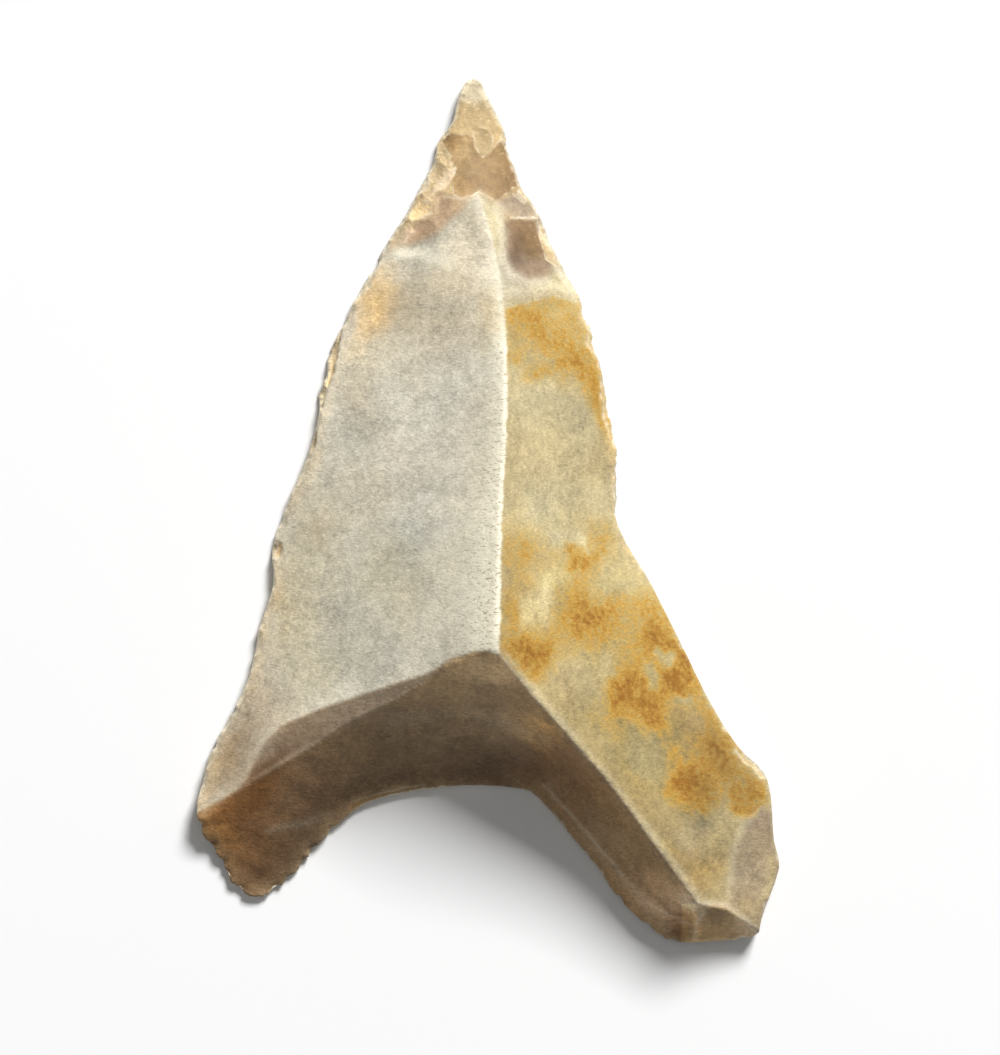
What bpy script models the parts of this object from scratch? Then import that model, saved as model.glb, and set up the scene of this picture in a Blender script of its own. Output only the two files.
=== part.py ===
"""Stone awl: a flint flake worked to a stout point, with a spread base that is hollowed between two feet.

The awl lies on its belly, the side that the flake split off from its core. It points along +Y, +Z is up, and
the origin is on the ground under the middle of its box. It is cut in millimetres, which suit the Boolean
cuts, and scaled to metres at the end.

The back of the stone is what is left of a thick blank after each flake has come off it, and the script cuts
it the same way. A bed is what a big flake left, a sheet ruled between a crest and a foot line. A facet is a
smaller bed, drawn on the beds that are already there. A scar is a shallow hollow that one blow left, and the
rim is nibbled by rows of small scars.
"""

import math
import random

import bmesh
import bpy
from mathutils import Matrix, Vector
from mathutils.bvhtree import BVHTree

# Driving dimensions
LENGTH = 0.060  # metres, from the point to the right foot
DRAWN_LENGTH = 60.0  # every length below is in millimetres, drawn for an awl of this length
BLANK_TOP = 17.0
BLANK_BOTTOM = -2.0
BLOCK_TOP = 20.0
BLOCK_BOTTOM = -4.0
RIM = 0.9  # height at which the beds of the back run out at the rim
WELD = 0.004  # slivers narrower than this are closed up after each cut
RIM_STEPS = 3  # straight steps between two marks of the outline

# Outline as (x, y), from the point down the left side, round both feet and up the right side
POINT = [(-0.9, 29.95), (-1.7, 29.4), (-2.2, 28.0), (-2.5, 26.8), (-3.4, 25.7)]
LEFT_SIDE = [(-3.9, 24.1), (-5.2, 21.4), (-7.4, 17.8), (-9.0, 15.0), (-9.9, 13.1), (-11.4, 10.0)]
LEFT_SIDE += [(-11.9, 8.3), (-11.7, 6.9), (-12.5, 3.7), (-14.1, 0.0), (-15.0, -2.8), (-14.9, -5.2)]
LEFT_SIDE += [(-15.9, -8.4), (-16.6, -11.8), (-18.1, -14.8), (-19.2, -16.7), (-19.8, -19.0), (-20.2, -20.8)]
LEFT_FOOT = [(-19.7, -22.8), (-18.5, -24.5), (-18.0, -25.8), (-16.3, -27.0), (-14.8, -26.5), (-13.1, -25.0)]
HOLLOW = [(-11.6, -23.1), (-9.5, -21.1), (-7.8, -20.2), (-5.0, -19.6), (-1.7, -19.2), (1.9, -19.4)]
HOLLOW += [(3.5, -20.1), (5.6, -22.5), (7.5, -24.7), (8.5, -26.3), (9.9, -27.9)]
RIGHT_FOOT = [(12.4, -29.9), (15.0, -30.05), (18.4, -29.7), (19.0, -28.3), (20.2, -25.0), (19.8, -23.0)]
RIGHT_FOOT += [(19.6, -20.0), (19.1, -18.2), (17.4, -16.6)]
RIGHT_SIDE = [(15.6, -13.8), (13.9, -10.4), (11.4, -5.4), (9.6, -2.4), (8.8, -0.2), (9.4, 2.4), (8.9, 4.2)]
RIGHT_SIDE += [(8.1, 8.3), (6.9, 13.4), (4.6, 17.8), (3.4, 20.8), (2.5, 22.1), (1.85, 23.8), (1.4, 25.6)]
RIGHT_SIDE += [(0.0, 28.5), (-0.4, 29.5)]

# Crests of the back as (x, y, height). The ridge climbs from the point to the summit, and the base crest runs
# from the left foot over the summit to the right foot.
RIDGE = [(-0.9, 31.5, 1.5), (-0.7, 24.2, 2.9), (-0.6, 21.8, 4.3), (0.9, 15.5, 6.6), (1.2, 7.5, 8.9)]
RIDGE += [(0.8, -0.8, 10.8)]
SUMMIT = (0.6, -9.7, 12.4)
LEFT_CREST = [(-22.6, -22.3, 1.8), (-19.2, -20.9, 2.5), (-16.8, -19.1, 3.2), (-11.7, -16.1, 4.9)]
LEFT_CREST += [(-8.9, -14.5, 6.3), (-5.4, -12.6, 8.5), (-2.4, -10.7, 10.4), (-0.7, -9.9, 11.6)]
RIGHT_CREST = [(2.9, -12.6, 10.7), (7.8, -18.2, 8.0), (11.9, -23.7, 6.3), (14.7, -27.5, 5.3), (17.6, -31.4, 4.2)]

# The broad beds. Each mark of the crest is ruled to the mark of the foot line beside it.
LEFT_BED = {
    "crest": RIDGE + [SUMMIT, (0.3, -18.0, 14.3), (0.3, -26.0, 16.2)],
    "foot": [(-2.6, 31.5, RIM), (-4.1, 24.2, RIM), (-5.1, 21.8, RIM), (-8.8, 15.5, RIM), (-11.8, 7.5, RIM),
             (-14.3, -0.8, RIM), (-16.4, -11.0, 1.2), (-19.8, -20.0, 1.7), (-22.0, -27.0, 2.0)],
    "hollow": 0.2,
}
RIGHT_BED = {
    "crest": RIDGE + [SUMMIT] + RIGHT_CREST,
    "foot": [(0.4, 31.5, RIM), (1.8, 24.2, RIM), (2.6, 22.0, RIM), (5.9, 15.5, RIM), (8.2, 7.8, RIM), (8.9, -0.2, RIM),
             (12.4, -7.4, RIM), (14.0, -10.6, RIM), (16.8, -15.6, 1.0), (19.4, -20.0, 1.2), (20.4, -24.6, 1.4),
             (23.0, -29.5, 1.4)],
    "hollow": 0.3,
}
BASE_BED = {
    "crest": LEFT_CREST + [SUMMIT] + RIGHT_CREST,
    "foot": [(-22.8, -26.0, 0.6), (-19.2, -25.6, 0.6), (-16.4, -27.2, 0.6), (-12.6, -24.4, 0.6),
             (-9.9, -21.4, 0.7), (-6.4, -19.9, 0.8), (-2.8, -19.3, 0.8), (-1.2, -19.2, 0.8), (0.4, -19.2, 0.8),
             (3.2, -19.4, 1.2), (5.4, -21.2, 2.2), (9.2, -25.2, 2.8), (12.4, -28.1, 3.0), (15.6, -33.0, 2.4)],
    "hollow": 0.5,
}
# The end of the right foot is one more bed, small and steep
HEEL_BED = {
    "crest": [(13.0, -27.6, 5.0), (15.0, -27.4, 5.0), (17.0, -27.4, 4.5), (19.0, -27.4, 4.6), (21.0, -27.4, 4.6)],
    "foot": [(13.0, -30.3, 0.7), (15.0, -30.3, 0.8), (17.0, -30.3, 0.8), (19.0, -30.3, 0.8), (21.0, -30.3, 0.8)],
    "hollow": 0.1,
}

# Facets. The top line is (x, y) only, because it lies on the surface as it is before the facet is cut.
LEFT_BEVEL = {
    "top": [(-17.9, -18.9), (-16.3, -17.4), (-14.3, -15.1), (-10.6, -13.5), (-5.4, -11.7), (-2.4, -10.5)],
    "foot": [(-18.2, -20.2, 2.8), (-16.8, -19.1, 3.2), (-14.6, -17.7, 3.9), (-11.7, -16.1, 4.9), (-5.4, -12.6, 8.4),
             (-2.4, -10.7, 10.4)],
}
HOLLOW_BEVEL = {
    "top": [(3.9, -19.2), (6.2, -21.7), (7.8, -23.5), (9.2, -25.2), (11.5, -27.5), (13.5, -28.2), (15.0, -29.0)],
    "foot": [(3.2, -19.9, 0.3), (5.2, -22.4, 0.3), (7.1, -24.7, 0.4), (8.4, -26.5, 0.4), (10.3, -28.6, 0.5),
             (12.8, -30.1, 0.6), (14.8, -30.4, 0.6)],
}
FLANK_FACET = {
    "top": [(18.4, -19.8), (17.2, -22.9), (16.8, -25.0), (16.7, -27.2), (17.2, -31.4)],
    "foot": [(20.4, -19.4, 0.9), (20.6, -22.4, 0.8), (20.9, -25.2, 0.7), (20.6, -28.2, 0.7), (20.8, -32.0, 0.7)],
}

# Scars as (x, y, heading, length, width, depth, tilt). The heading is the way that the blow ran, in degrees
# from +X, and the tilt sinks the end where it was struck.
POINT_SCARS = [
    (-0.8, 25.7, -92, 5.6, 3.8, 0.20, 0),  # flute down the ridge, ending in a step
    (-0.1, 23.4, -92, 2.6, 3.6, 0.14, 0),
    (2.8, 17.7, -97, 5.6, 3.2, 0.22, 0),  # broad hollow right of the ridge
    (2.5, 20.9, 200, 2.4, 2.2, 0.24, 8),
    (-4.6, 18.7, -15, 4.0, 2.8, 0.24, 6),
    (-4.7, 20.7, -30, 2.8, 2.0, 0.24, 10),
    (-3.2, 22.6, -50, 2.6, 1.5, 0.20, 10),
    (1.3, 24.2, 215, 2.8, 2.2, 0.24, 12),
    (-2.5, 24.9, -12, 2.6, 2.4, 0.24, 10),
    (-0.2, 25.5, -98, 2.2, 1.2, 0.10, 0),
    (-1.7, 26.7, -35, 2.2, 1.8, 0.14, 8),
    (0.1, 26.8, 215, 2.2, 1.8, 0.16, 8),
    (-0.8, 28.3, -92, 2.6, 1.8, 0.16, 8),
]
EDGE_SCARS = [
    (-11.7, 8.0, -10, 1.0, 4.4, 0.14, 40),
    (-12.4, 4.6, -10, 0.9, 3.4, 0.14, 40),
    (-8.2, 16.2, -30, 1.2, 2.6, 0.14, 30),
    (18.5, -17.6, 215, 2.0, 3.2, 0.24, 25),
    (8.9, 2.2, 180, 0.8, 2.2, 0.14, 40),
    (13.6, -29.2, 85, 2.2, 2.4, 0.30, 5),  # under the right foot's end
]

SCAR_BITE = 0.8  # share of a scoop's half height that stays above the surface it is laid on

# Small scars along the rim: from one y to another, how far apart they are and how wide, from small to large
NIBBLING = {
    "left": {"from": 26.0, "to": -20.0, "gap": 1.5, "width": (1.0, 2.4)},
    "right": {"from": 1.0, "to": 26.0, "gap": 1.6, "width": (1.0, 2.2)},
}
NIBBLE_REACH = 0.42  # how far in a small scar runs, as a share of its width
NIBBLE_DEPTH = 0.07
NIBBLE_TILT = (25, 45)
NIBBLE_SEED = 16

# The belly is flat in the middle, where the awl lies, and lifts towards the rim
BELLY_CENTRE = (0.0, -6.0)
BELLY_FLAT = (8.5, 12.0)
BELLY_LIFT = 0.13
BELLY_RINGS = [1.0, 1.3, 1.7, 2.2, 2.8, 3.6]
BELLY_SIDES = 32

STONE_COLOUR = (0.50, 0.43, 0.32, 1.0)
STONE_ROUGHNESS = 0.55
BACK_FLAT_ANGLE = math.radians(1.0)
BELLY_FLAT_ANGLE = math.radians(0.1)
CREST_ANGLE = math.radians(24)  # facets that meet at more than this keep a sharp crest


def spline(points, t):
    """Point at t, counted in spans, on a smooth curve through the points."""
    i = min(int(t), len(points) - 2)
    f = t - i
    p1 = points[i]
    p2 = points[i + 1]
    p0 = points[i - 1] if i > 0 else p1 * 2 - p2
    p3 = points[i + 2] if i + 2 < len(points) else p2 * 2 - p1
    bend = (p0 * 2 - p1 * 5 + p2 * 4 - p3) * f * f + (p1 * 3 - p0 - p2 * 3 + p3) * f * f * f
    return (p1 * 2 + (p2 - p0) * f + bend) / 2


def outline():
    """The rim of the flake as a closed loop of 2-D points, anticlockwise from the point."""
    marks = [Vector(p) for p in POINT + LEFT_SIDE + LEFT_FOOT + HOLLOW + RIGHT_FOOT + RIGHT_SIDE]
    marks.append(marks[0])
    spans = len(marks) - 1
    return [spline(marks, i / RIM_STEPS) for i in range(spans * RIM_STEPS)]


def new_object(name, bm):
    """The bmesh as an object in the scene, with its faces turned outwards."""
    bmesh.ops.recalc_face_normals(bm, faces=bm.faces)
    mesh = bpy.data.meshes.new(name)
    bm.to_mesh(mesh)
    bm.free()
    obj = bpy.data.objects.new(name, mesh)
    bpy.context.scene.collection.objects.link(obj)
    return obj


def thicken(name, bm, level):
    """Closes the bmesh's sheet into a block whose far side is flat at that level."""
    grown = bmesh.ops.extrude_face_region(bm, geom=bm.faces[:])["geom"]
    for v in grown:
        if isinstance(v, bmesh.types.BMVert):
            v.co.z = level
    return new_object(name, bm)


def blank(rim):
    """The thick blank with the outline of the awl."""
    bm = bmesh.new()
    bm.faces.new([bm.verts.new((p.x, p.y, BLANK_BOTTOM)) for p in rim])
    return thicken("stone_awl", bm, BLANK_TOP)


def ruled_block(crest, foot, hollow, spill, across, per_row):
    """What came off above a bed. The bed sags by hollow and runs on by spill past both its lines."""
    spans = len(crest) - 1
    bm = bmesh.new()
    bmesh.ops.create_grid(bm, x_segments=spans * per_row, y_segments=across, size=0.5)
    for v in bm.verts:
        t = (v.co.x + 0.5) * spans
        a = spline(crest, t)
        b = spline(foot, t)
        over = spill / (b - a).length
        u = (v.co.y + 0.5) * (1 + 2 * over) - over
        v.co = a.lerp(b, u) if 0 <= u <= 1 else a + (b - a) * u
        v.co.z -= 4 * hollow * u * (1 - u)
    return thicken("block", bm, BLOCK_TOP)


def belly_block():
    """What is under the belly: an oval flat with rings around it that rise to the rim."""
    centre = Vector(BELLY_CENTRE)
    flat = Vector(BELLY_FLAT)
    bm = bmesh.new()
    rings = []
    for r in BELLY_RINGS:
        turns = [2 * math.pi * i / BELLY_SIDES for i in range(BELLY_SIDES)]
        lift = BELLY_LIFT * (r - 1) ** 2
        rings.append([bm.verts.new((centre.x + r * flat.x * math.cos(a), centre.y + r * flat.y * math.sin(a), lift))
                      for a in turns])
    bm.faces.new(rings[0])
    for inner, outer in zip(rings, rings[1:]):
        for i in range(BELLY_SIDES):
            j = (i + 1) % BELLY_SIDES
            bm.faces.new((inner[i], outer[i], outer[j], inner[j]))
    return thicken("block", bm, BLOCK_BOTTOM)


def in_order(mesh):
    """A copy of the mesh with its corners and faces in one fixed order, which a cut doesn't give them."""
    spots = [tuple(v.co) for v in mesh.vertices]
    order = sorted(range(len(spots)), key=spots.__getitem__)
    place = {old: new for new, old in enumerate(order)}
    faces = []
    for face in mesh.polygons:
        corners = [place[i] for i in face.vertices]
        first = corners.index(min(corners))
        faces.append(corners[first:] + corners[:first])
    ordered = bpy.data.meshes.new(mesh.name)
    ordered.from_pydata([spots[i] for i in order], [], sorted(faces))
    return ordered


def cut(stone, tool):
    """Takes the tool's shape off the stone and throws the tool away."""
    modifier = stone.modifiers.new("cut", "BOOLEAN")
    modifier.object = tool
    modifier.operation = "DIFFERENCE"
    evaluated = stone.evaluated_get(bpy.context.evaluated_depsgraph_get())
    mesh = in_order(bpy.data.meshes.new_from_object(evaluated))
    bm = bmesh.new()
    bm.from_mesh(mesh)
    bmesh.ops.remove_doubles(bm, verts=bm.verts, dist=WELD)
    bmesh.ops.dissolve_degenerate(bm, dist=WELD, edges=bm.edges)
    bmesh.ops.triangulate(bm, faces=bm.faces)
    bm.to_mesh(mesh)
    bm.free()
    stone.modifiers.remove(modifier)
    stone.data = mesh
    bpy.data.objects.remove(tool)


def cut_bed(stone, bed):
    """Strikes off one of the broad beds."""
    crest = [Vector(p) for p in bed["crest"]]
    foot = [Vector(p) for p in bed["foot"]]
    cut(stone, ruled_block(crest, foot, bed["hollow"], spill=3.0, across=8, per_row=3))


def surface(stone):
    """A search tree over the stone's faces as they are now."""
    bm = bmesh.new()
    bm.from_mesh(stone.data)
    tree = BVHTree.FromBMesh(bm)
    bm.free()
    return tree


def back_at(tree, x, y):
    """Point and normal where a line straight down at (x, y) meets the back, or None beside the stone."""
    point, normal, _, _ = tree.ray_cast(Vector((x, y, BLOCK_TOP)), Vector((0, 0, -1)))
    return (point, normal) if point else None


def cut_facet(stone, facet, hollow=0.1, spill=1.2):
    """Cuts a facet from a top line drawn on the back down to its foot line. Past the rim the top line is level."""
    tree = surface(stone)
    foot = [Vector(p) for p in facet["foot"]]
    crest = []
    for x, y in facet["top"]:
        hit = back_at(tree, x, y)
        crest.append(hit[0] if hit else Vector((x, y, crest[-1].z)))
    cut(stone, ruled_block(crest, foot, hollow, spill, across=5, per_row=2))


def seat(tree, spot, run, side, length, width):
    """Middle and normal of the patch that a scar takes up, from the back at its two ends and two sides."""
    middle = back_at(tree, spot.x, spot.y)
    if middle is None:
        return None
    ends = [spot + run * length / 2, spot - run * length / 2, spot + side * width / 2, spot - side * width / 2]
    hits = [back_at(tree, p.x, p.y) for p in ends]
    if None in hits:
        return middle
    ahead, behind, left, right = [point for point, _ in hits]
    normal = (ahead - behind).cross(left - right).normalized()
    return (ahead + behind + left + right) / 4, normal


def cut_scar(stone, x, y, heading, length, width, depth, tilt, sides=3):
    """Scoops out one scar at (x, y) with the lower cap of an ellipsoid laid on the surface there."""
    angle = math.radians(heading)
    run = Vector((math.cos(angle), math.sin(angle), 0))
    side = Vector((-run.y, run.x, 0))
    found = seat(surface(stone), Vector((x, y, 0)), run, side, length, width)
    if found is None:
        return
    point, normal = found
    run = (run - normal * run.dot(normal)).normalized()
    side = normal.cross(run)
    lean = Matrix.Rotation(math.radians(-tilt), 3, side)
    run = lean @ run
    up = lean @ normal
    spread = math.sqrt(1 - SCAR_BITE * SCAR_BITE)
    reach = Vector((length / 2 / spread, width / 2 / spread, depth / (1 - SCAR_BITE)))
    bm = bmesh.new()
    bmesh.ops.create_icosphere(bm, subdivisions=sides, radius=1)
    frame = Matrix((run, side, up)).transposed().to_4x4()
    place = Matrix.Translation(point + up * reach.z * SCAR_BITE) @ frame @ Matrix.Diagonal((*reach, 1))
    bmesh.ops.transform(bm, matrix=place, verts=bm.verts)
    cut(stone, new_object("scar", bm))


def nibble(stone, rim, run, dice):
    """Small scars along one side of the rim, of uneven width and distance."""
    low, high = sorted((run["from"], run["to"]))
    travelled = 0.0
    wait = run["gap"]
    for before, after in zip(rim, rim[1:]):
        travelled += (after - before).length
        if not low < after.y < high or travelled < wait:
            continue
        travelled = 0.0
        wait = run["gap"] * dice.uniform(0.6, 1.4)
        width = dice.uniform(*run["width"])
        reach = width * NIBBLE_REACH * dice.uniform(0.7, 1.3)
        step = (after - before).normalized()
        inward = Vector((-step.y, step.x))
        spot = after + inward * reach * 0.3
        heading = math.degrees(math.atan2(inward.y, inward.x)) + dice.uniform(-12, 12)
        tilt = dice.uniform(*NIBBLE_TILT)
        cut_scar(stone, spot.x, spot.y, heading, 2 * reach, width, NIBBLE_DEPTH * width, tilt, sides=2)


def finish(stone):
    """Joins triangles that lie nearly flat, scales to metres, and gives smooth beds, sharp crests and colour."""
    bm = bmesh.new()
    bm.from_mesh(stone.data)
    bmesh.ops.dissolve_limit(bm, angle_limit=BELLY_FLAT_ANGLE, verts=bm.verts, edges=bm.edges)
    back = [v for v in bm.verts if all(f.normal.z > 0 for f in v.link_faces)]
    edges = [e for e in bm.edges if all(f.normal.z > 0 for f in e.link_faces)]
    bmesh.ops.dissolve_limit(bm, angle_limit=BACK_FLAT_ANGLE, verts=back, edges=edges)
    bmesh.ops.triangulate(bm, faces=bm.faces)
    bmesh.ops.scale(bm, vec=Vector((1, 1, 1)) * LENGTH / DRAWN_LENGTH, verts=bm.verts)
    bm.to_mesh(stone.data)
    bm.free()
    stone.data.shade_smooth()
    stone.data.set_sharp_from_angle(angle=CREST_ANGLE)
    material = bpy.data.materials.new("patinated flint")
    material.use_nodes = True
    shader = material.node_tree.nodes["Principled BSDF"]
    shader.inputs["Base Color"].default_value = STONE_COLOUR
    shader.inputs["Roughness"].default_value = STONE_ROUGHNESS
    shader.inputs["Metallic"].default_value = 0.0
    stone.data.materials.clear()
    stone.data.materials.append(material)


def main():
    for obj in list(bpy.data.objects):
        bpy.data.objects.remove(obj)
    rim = outline()
    stone = blank(rim)
    for bed in (LEFT_BED, RIGHT_BED, BASE_BED):
        cut_bed(stone, bed)
    cut_facet(stone, LEFT_BEVEL, hollow=0.05)
    cut_facet(stone, HOLLOW_BEVEL)
    cut_facet(stone, FLANK_FACET)
    cut_bed(stone, HEEL_BED)
    cut(stone, belly_block())
    for scar in POINT_SCARS + EDGE_SCARS:
        cut_scar(stone, *scar)
    dice = random.Random(NIBBLE_SEED)
    nibble(stone, rim[:RIM_STEPS * len(POINT + LEFT_SIDE)], NIBBLING["left"], dice)
    nibble(stone, rim[-RIM_STEPS * len(RIGHT_SIDE):], NIBBLING["right"], dice)
    finish(stone)


main()
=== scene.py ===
# The stone awl dressed as patinated flint. Lengths are in millimetres until the mesh is done.
import math
import random

import bmesh
import bpy
import numpy as np
from mathutils import Matrix, Vector, noise
from mathutils.bvhtree import BVHTree
from mathutils.kdtree import KDTree


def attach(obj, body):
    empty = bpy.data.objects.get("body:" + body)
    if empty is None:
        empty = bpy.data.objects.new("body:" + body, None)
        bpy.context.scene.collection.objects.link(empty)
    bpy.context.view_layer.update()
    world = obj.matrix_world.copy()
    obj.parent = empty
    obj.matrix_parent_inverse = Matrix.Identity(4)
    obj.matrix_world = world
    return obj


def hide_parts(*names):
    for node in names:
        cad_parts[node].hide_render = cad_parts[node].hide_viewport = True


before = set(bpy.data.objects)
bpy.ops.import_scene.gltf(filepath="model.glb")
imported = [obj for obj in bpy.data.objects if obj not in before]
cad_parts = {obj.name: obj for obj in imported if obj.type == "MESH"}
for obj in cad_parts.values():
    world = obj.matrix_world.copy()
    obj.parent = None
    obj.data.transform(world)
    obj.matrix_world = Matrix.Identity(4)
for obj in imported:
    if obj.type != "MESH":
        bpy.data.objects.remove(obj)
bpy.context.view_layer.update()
dice = random.Random(11)


def smooth(low, high, value):
    # 0 below low, 1 above high, an even curve between. With low above high it falls instead.
    t = np.clip((value - low) / (high - low), 0, 1)
    return t * t * (3 - 2 * t)


def bell(gap, width):
    # 1 where the gap is 0, fading on both sides of it
    return np.exp(-((gap / width) ** 2))


def field(points, size, octaves=3, shift=0.0):
    # soft noise from about -1 to 1, with lumps of that size
    spots = [Vector((p[0] + shift, p[1], p[2])) / size for p in points]
    return np.array([noise.fractal(spot, 1.0, 2.0, octaves) for spot in spots])


def patch(x, y, spot, angle, length, width):
    # how far out each point is in an oval: 0 in the middle, 1 on its edge
    turn = math.radians(angle)
    along = (x - spot[0]) * math.cos(turn) + (y - spot[1]) * math.sin(turn)
    across = (y - spot[1]) * math.cos(turn) - (x - spot[0]) * math.sin(turn)
    return np.hypot(along * 2 / length, across * 2 / width)


def lineGap(x, y, marks):
    # signed distance to a bent line, positive on its left
    best = np.full(len(x), 1e9)
    side = np.ones(len(x))
    for (ax, ay), (bx, by) in zip(marks, marks[1:]):
        dx, dy = bx - ax, by - ay
        t = np.clip(((x - ax) * dx + (y - ay) * dy) / (dx * dx + dy * dy), 0, 1)
        gap = np.hypot(x - ax - t * dx, y - ay - t * dy)
        nearer = gap < best - 1e-9
        best = np.where(nearer, gap, best)
        side = np.where(nearer, np.sign(dx * (y - ay) - dy * (x - ax)), side)
    return best * side


def shapeGap(x, y, outline):
    # how deep each point lies inside a closed outline, below 0 outside it
    inside = np.zeros(len(x), dtype=bool)
    for (ax, ay), (bx, by) in zip(outline, outline[1:] + outline[:1]):
        if ay != by:
            inside ^= ((ay > y) != (by > y)) & (x < ax + (y - ay) / (by - ay) * (bx - ax))
    return np.abs(lineGap(x, y, outline + outline[:1])) * np.where(inside, 1, -1)


def newObject(name, data):
    made = bpy.data.objects.new(name, data)
    bpy.context.scene.collection.objects.link(made)
    return made


# The stone's mesh
stone = {
    "voxel": 0.184,  # mesh size of the copy that carries the relief
    "keep": 0.74,  # share of its faces kept, the others go from the underside
    "underside": -0.25,  # normals lower than this are on the underside
    "fineAbove": 18.0,  # above this line the mesh is twice as fine
    "crestAngle": 24, "crestStep": 0.05,  # sharper edges of the solid are crests, marked at this step
    "snap": 0.45, "fineSnap": 0.2,  # how near a crest a vertex is put onto it, in mesh sizes
    "wear": 0.3,  # how far the crests are rounded off, from 0 to 1
    "waves": [(5.0, 0.05, 2), (1.5, 0.01, 3), (0.42, 0.009, 2)],  # size, height, octaves: swell to grit
}

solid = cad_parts["stone_awl"]
bm = bmesh.new()
bm.from_mesh(solid.data)
bmesh.ops.scale(bm, vec=(1000, 1000, 1000), verts=bm.verts)
bmesh.ops.remove_doubles(bm, verts=bm.verts, dist=0.001)
solidTree = BVHTree.FromBMesh(bm)
crestMarks = []
for edge in bm.edges:
    if len(edge.link_faces) == 2 and edge.calc_face_angle(0) > math.radians(stone["crestAngle"]):
        a, b = edge.verts[0].co, edge.verts[1].co
        steps = max(1, math.ceil((b - a).length / stone["crestStep"]))
        crestMarks += [a.lerp(b, i / steps) for i in range(steps + 1)]
crests = KDTree(len(crestMarks))
for i, mark in enumerate(crestMarks):
    crests.insert(mark, i)
crests.balance()
copyMesh = bpy.data.meshes.new("flint")
bm.to_mesh(copyMesh)
bm.free()
flint = newObject("flint", copyMesh)


def bake(kind, **settings):
    # one modifier put on the stone and turned into its mesh
    modifier = flint.modifiers.new("step", kind)
    for name, value in settings.items():
        setattr(modifier, name, value)
    made = bpy.data.meshes.new_from_object(flint.evaluated_get(bpy.context.evaluated_depsgraph_get()))
    flint.modifiers.remove(modifier)
    old = flint.data
    flint.data = made
    bpy.data.meshes.remove(old)


bake("REMESH", mode="VOXEL", voxel_size=stone["voxel"])
under = flint.vertex_groups.new(name="under")
under.add([v.index for v in flint.data.vertices if v.normal.z < stone["underside"]], 1.0, "REPLACE")
bake("DECIMATE", ratio=stone["keep"], vertex_group="under", vertex_group_factor=1000)
flint.vertex_groups.clear()
flint.data.name = "flint"
bm = bmesh.new()
bm.from_mesh(flint.data)
fineEdges = [e for e in bm.edges
             if min(v.co.y for v in e.verts) > stone["fineAbove"] and e.verts[0].normal.z > 0]
bmesh.ops.subdivide_edges(bm, edges=fineEdges, cuts=1, use_grid_fill=True)
bm.to_mesh(flint.data)
bm.free()

# Vertices go onto the solid, and those beside a crest onto the crest
count = len(flint.data.vertices)
co = np.zeros(count * 3)
flint.data.vertices.foreach_get("co", co)
co = co.reshape(-1, 3)
for i in range(count):
    spot = solidTree.find_nearest(Vector(co[i]))[0]
    crest, _, gap = crests.find(spot)
    snap = stone["fineSnap"] if spot.y > stone["fineAbove"] else stone["snap"]
    co[i] = crest if gap < stone["voxel"] * snap else spot

ends = np.zeros(len(flint.data.edges) * 2, dtype=np.int32)
flint.data.edges.foreach_get("vertices", ends)
firstEnd, secondEnd = ends.reshape(-1, 2).T
degree = np.bincount(ends, minlength=count)


def neighbourMean(values):
    total = np.bincount(firstEnd, values[secondEnd], count)
    total += np.bincount(secondEnd, values[firstEnd], count)
    return total / degree


def normalsNow(points):
    flint.data.vertices.foreach_set("co", points.ravel())
    flint.data.update()
    normals = np.zeros(count * 3)
    flint.data.vertex_normals.foreach_get("vector", normals)
    return normals.reshape(-1, 3)


sharp = co.copy()
means = np.stack([neighbourMean(axis) for axis in co.T], 1)
co = co + (means - co) * stone["wear"]
normal = normalsNow(co)
triangles = sum(len(p.vertices) - 2 for p in flint.data.polygons)
print("stone: even mesh of", count, "vertices,", triangles, "triangles")

# Lines on the back, from the point towards the feet. The ridge and the crests meet at the summit.
summit = (0.6, -9.7)
lines = {
    "ridge": [(-0.6, 21.6), (0.3, 18.4), (0.9, 15.5), (1.15, 11.0), (1.2, 7.5), (0.9, 1.0), (0.8, -0.8),
              summit],
    "leftCrest": [summit, (-0.3, -9.65), (-1.2, -9.8), (-2.5, -10.25), (-3.9, -11.2), (-5.4, -11.75),
                  (-10.6, -13.5), (-14.2, -14.95), (-15.2, -15.9), (-16.0, -17.2), (-16.6, -18.5),
                  (-17.1, -19.25), (-18.4, -20.15), (-19.9, -20.95)],
    "bevelFoot": [(-2.4, -10.7), (-5.4, -12.6), (-8.9, -14.5), (-11.7, -16.1), (-16.8, -19.1),
                  (-20.0, -20.9)],
    "rightCrest": [summit, (2.9, -12.6), (7.8, -18.2), (11.9, -23.7), (14.7, -27.5)],
    "heel": [(14.2, -27.3), (15.2, -27.25), (16.4, -27.4), (17.4, -28.2), (18.6, -29.3)],
    "hollowCrest": [(3.9, -19.2), (6.2, -21.7), (7.8, -23.5), (9.2, -25.2), (11.5, -27.5), (13.2, -28.3)],
    "flank": [(18.6, -21.0), (17.6, -22.2), (17.1, -23.2), (16.8, -24.6), (16.7, -26.6), (16.4, -27.6)],
}
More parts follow.
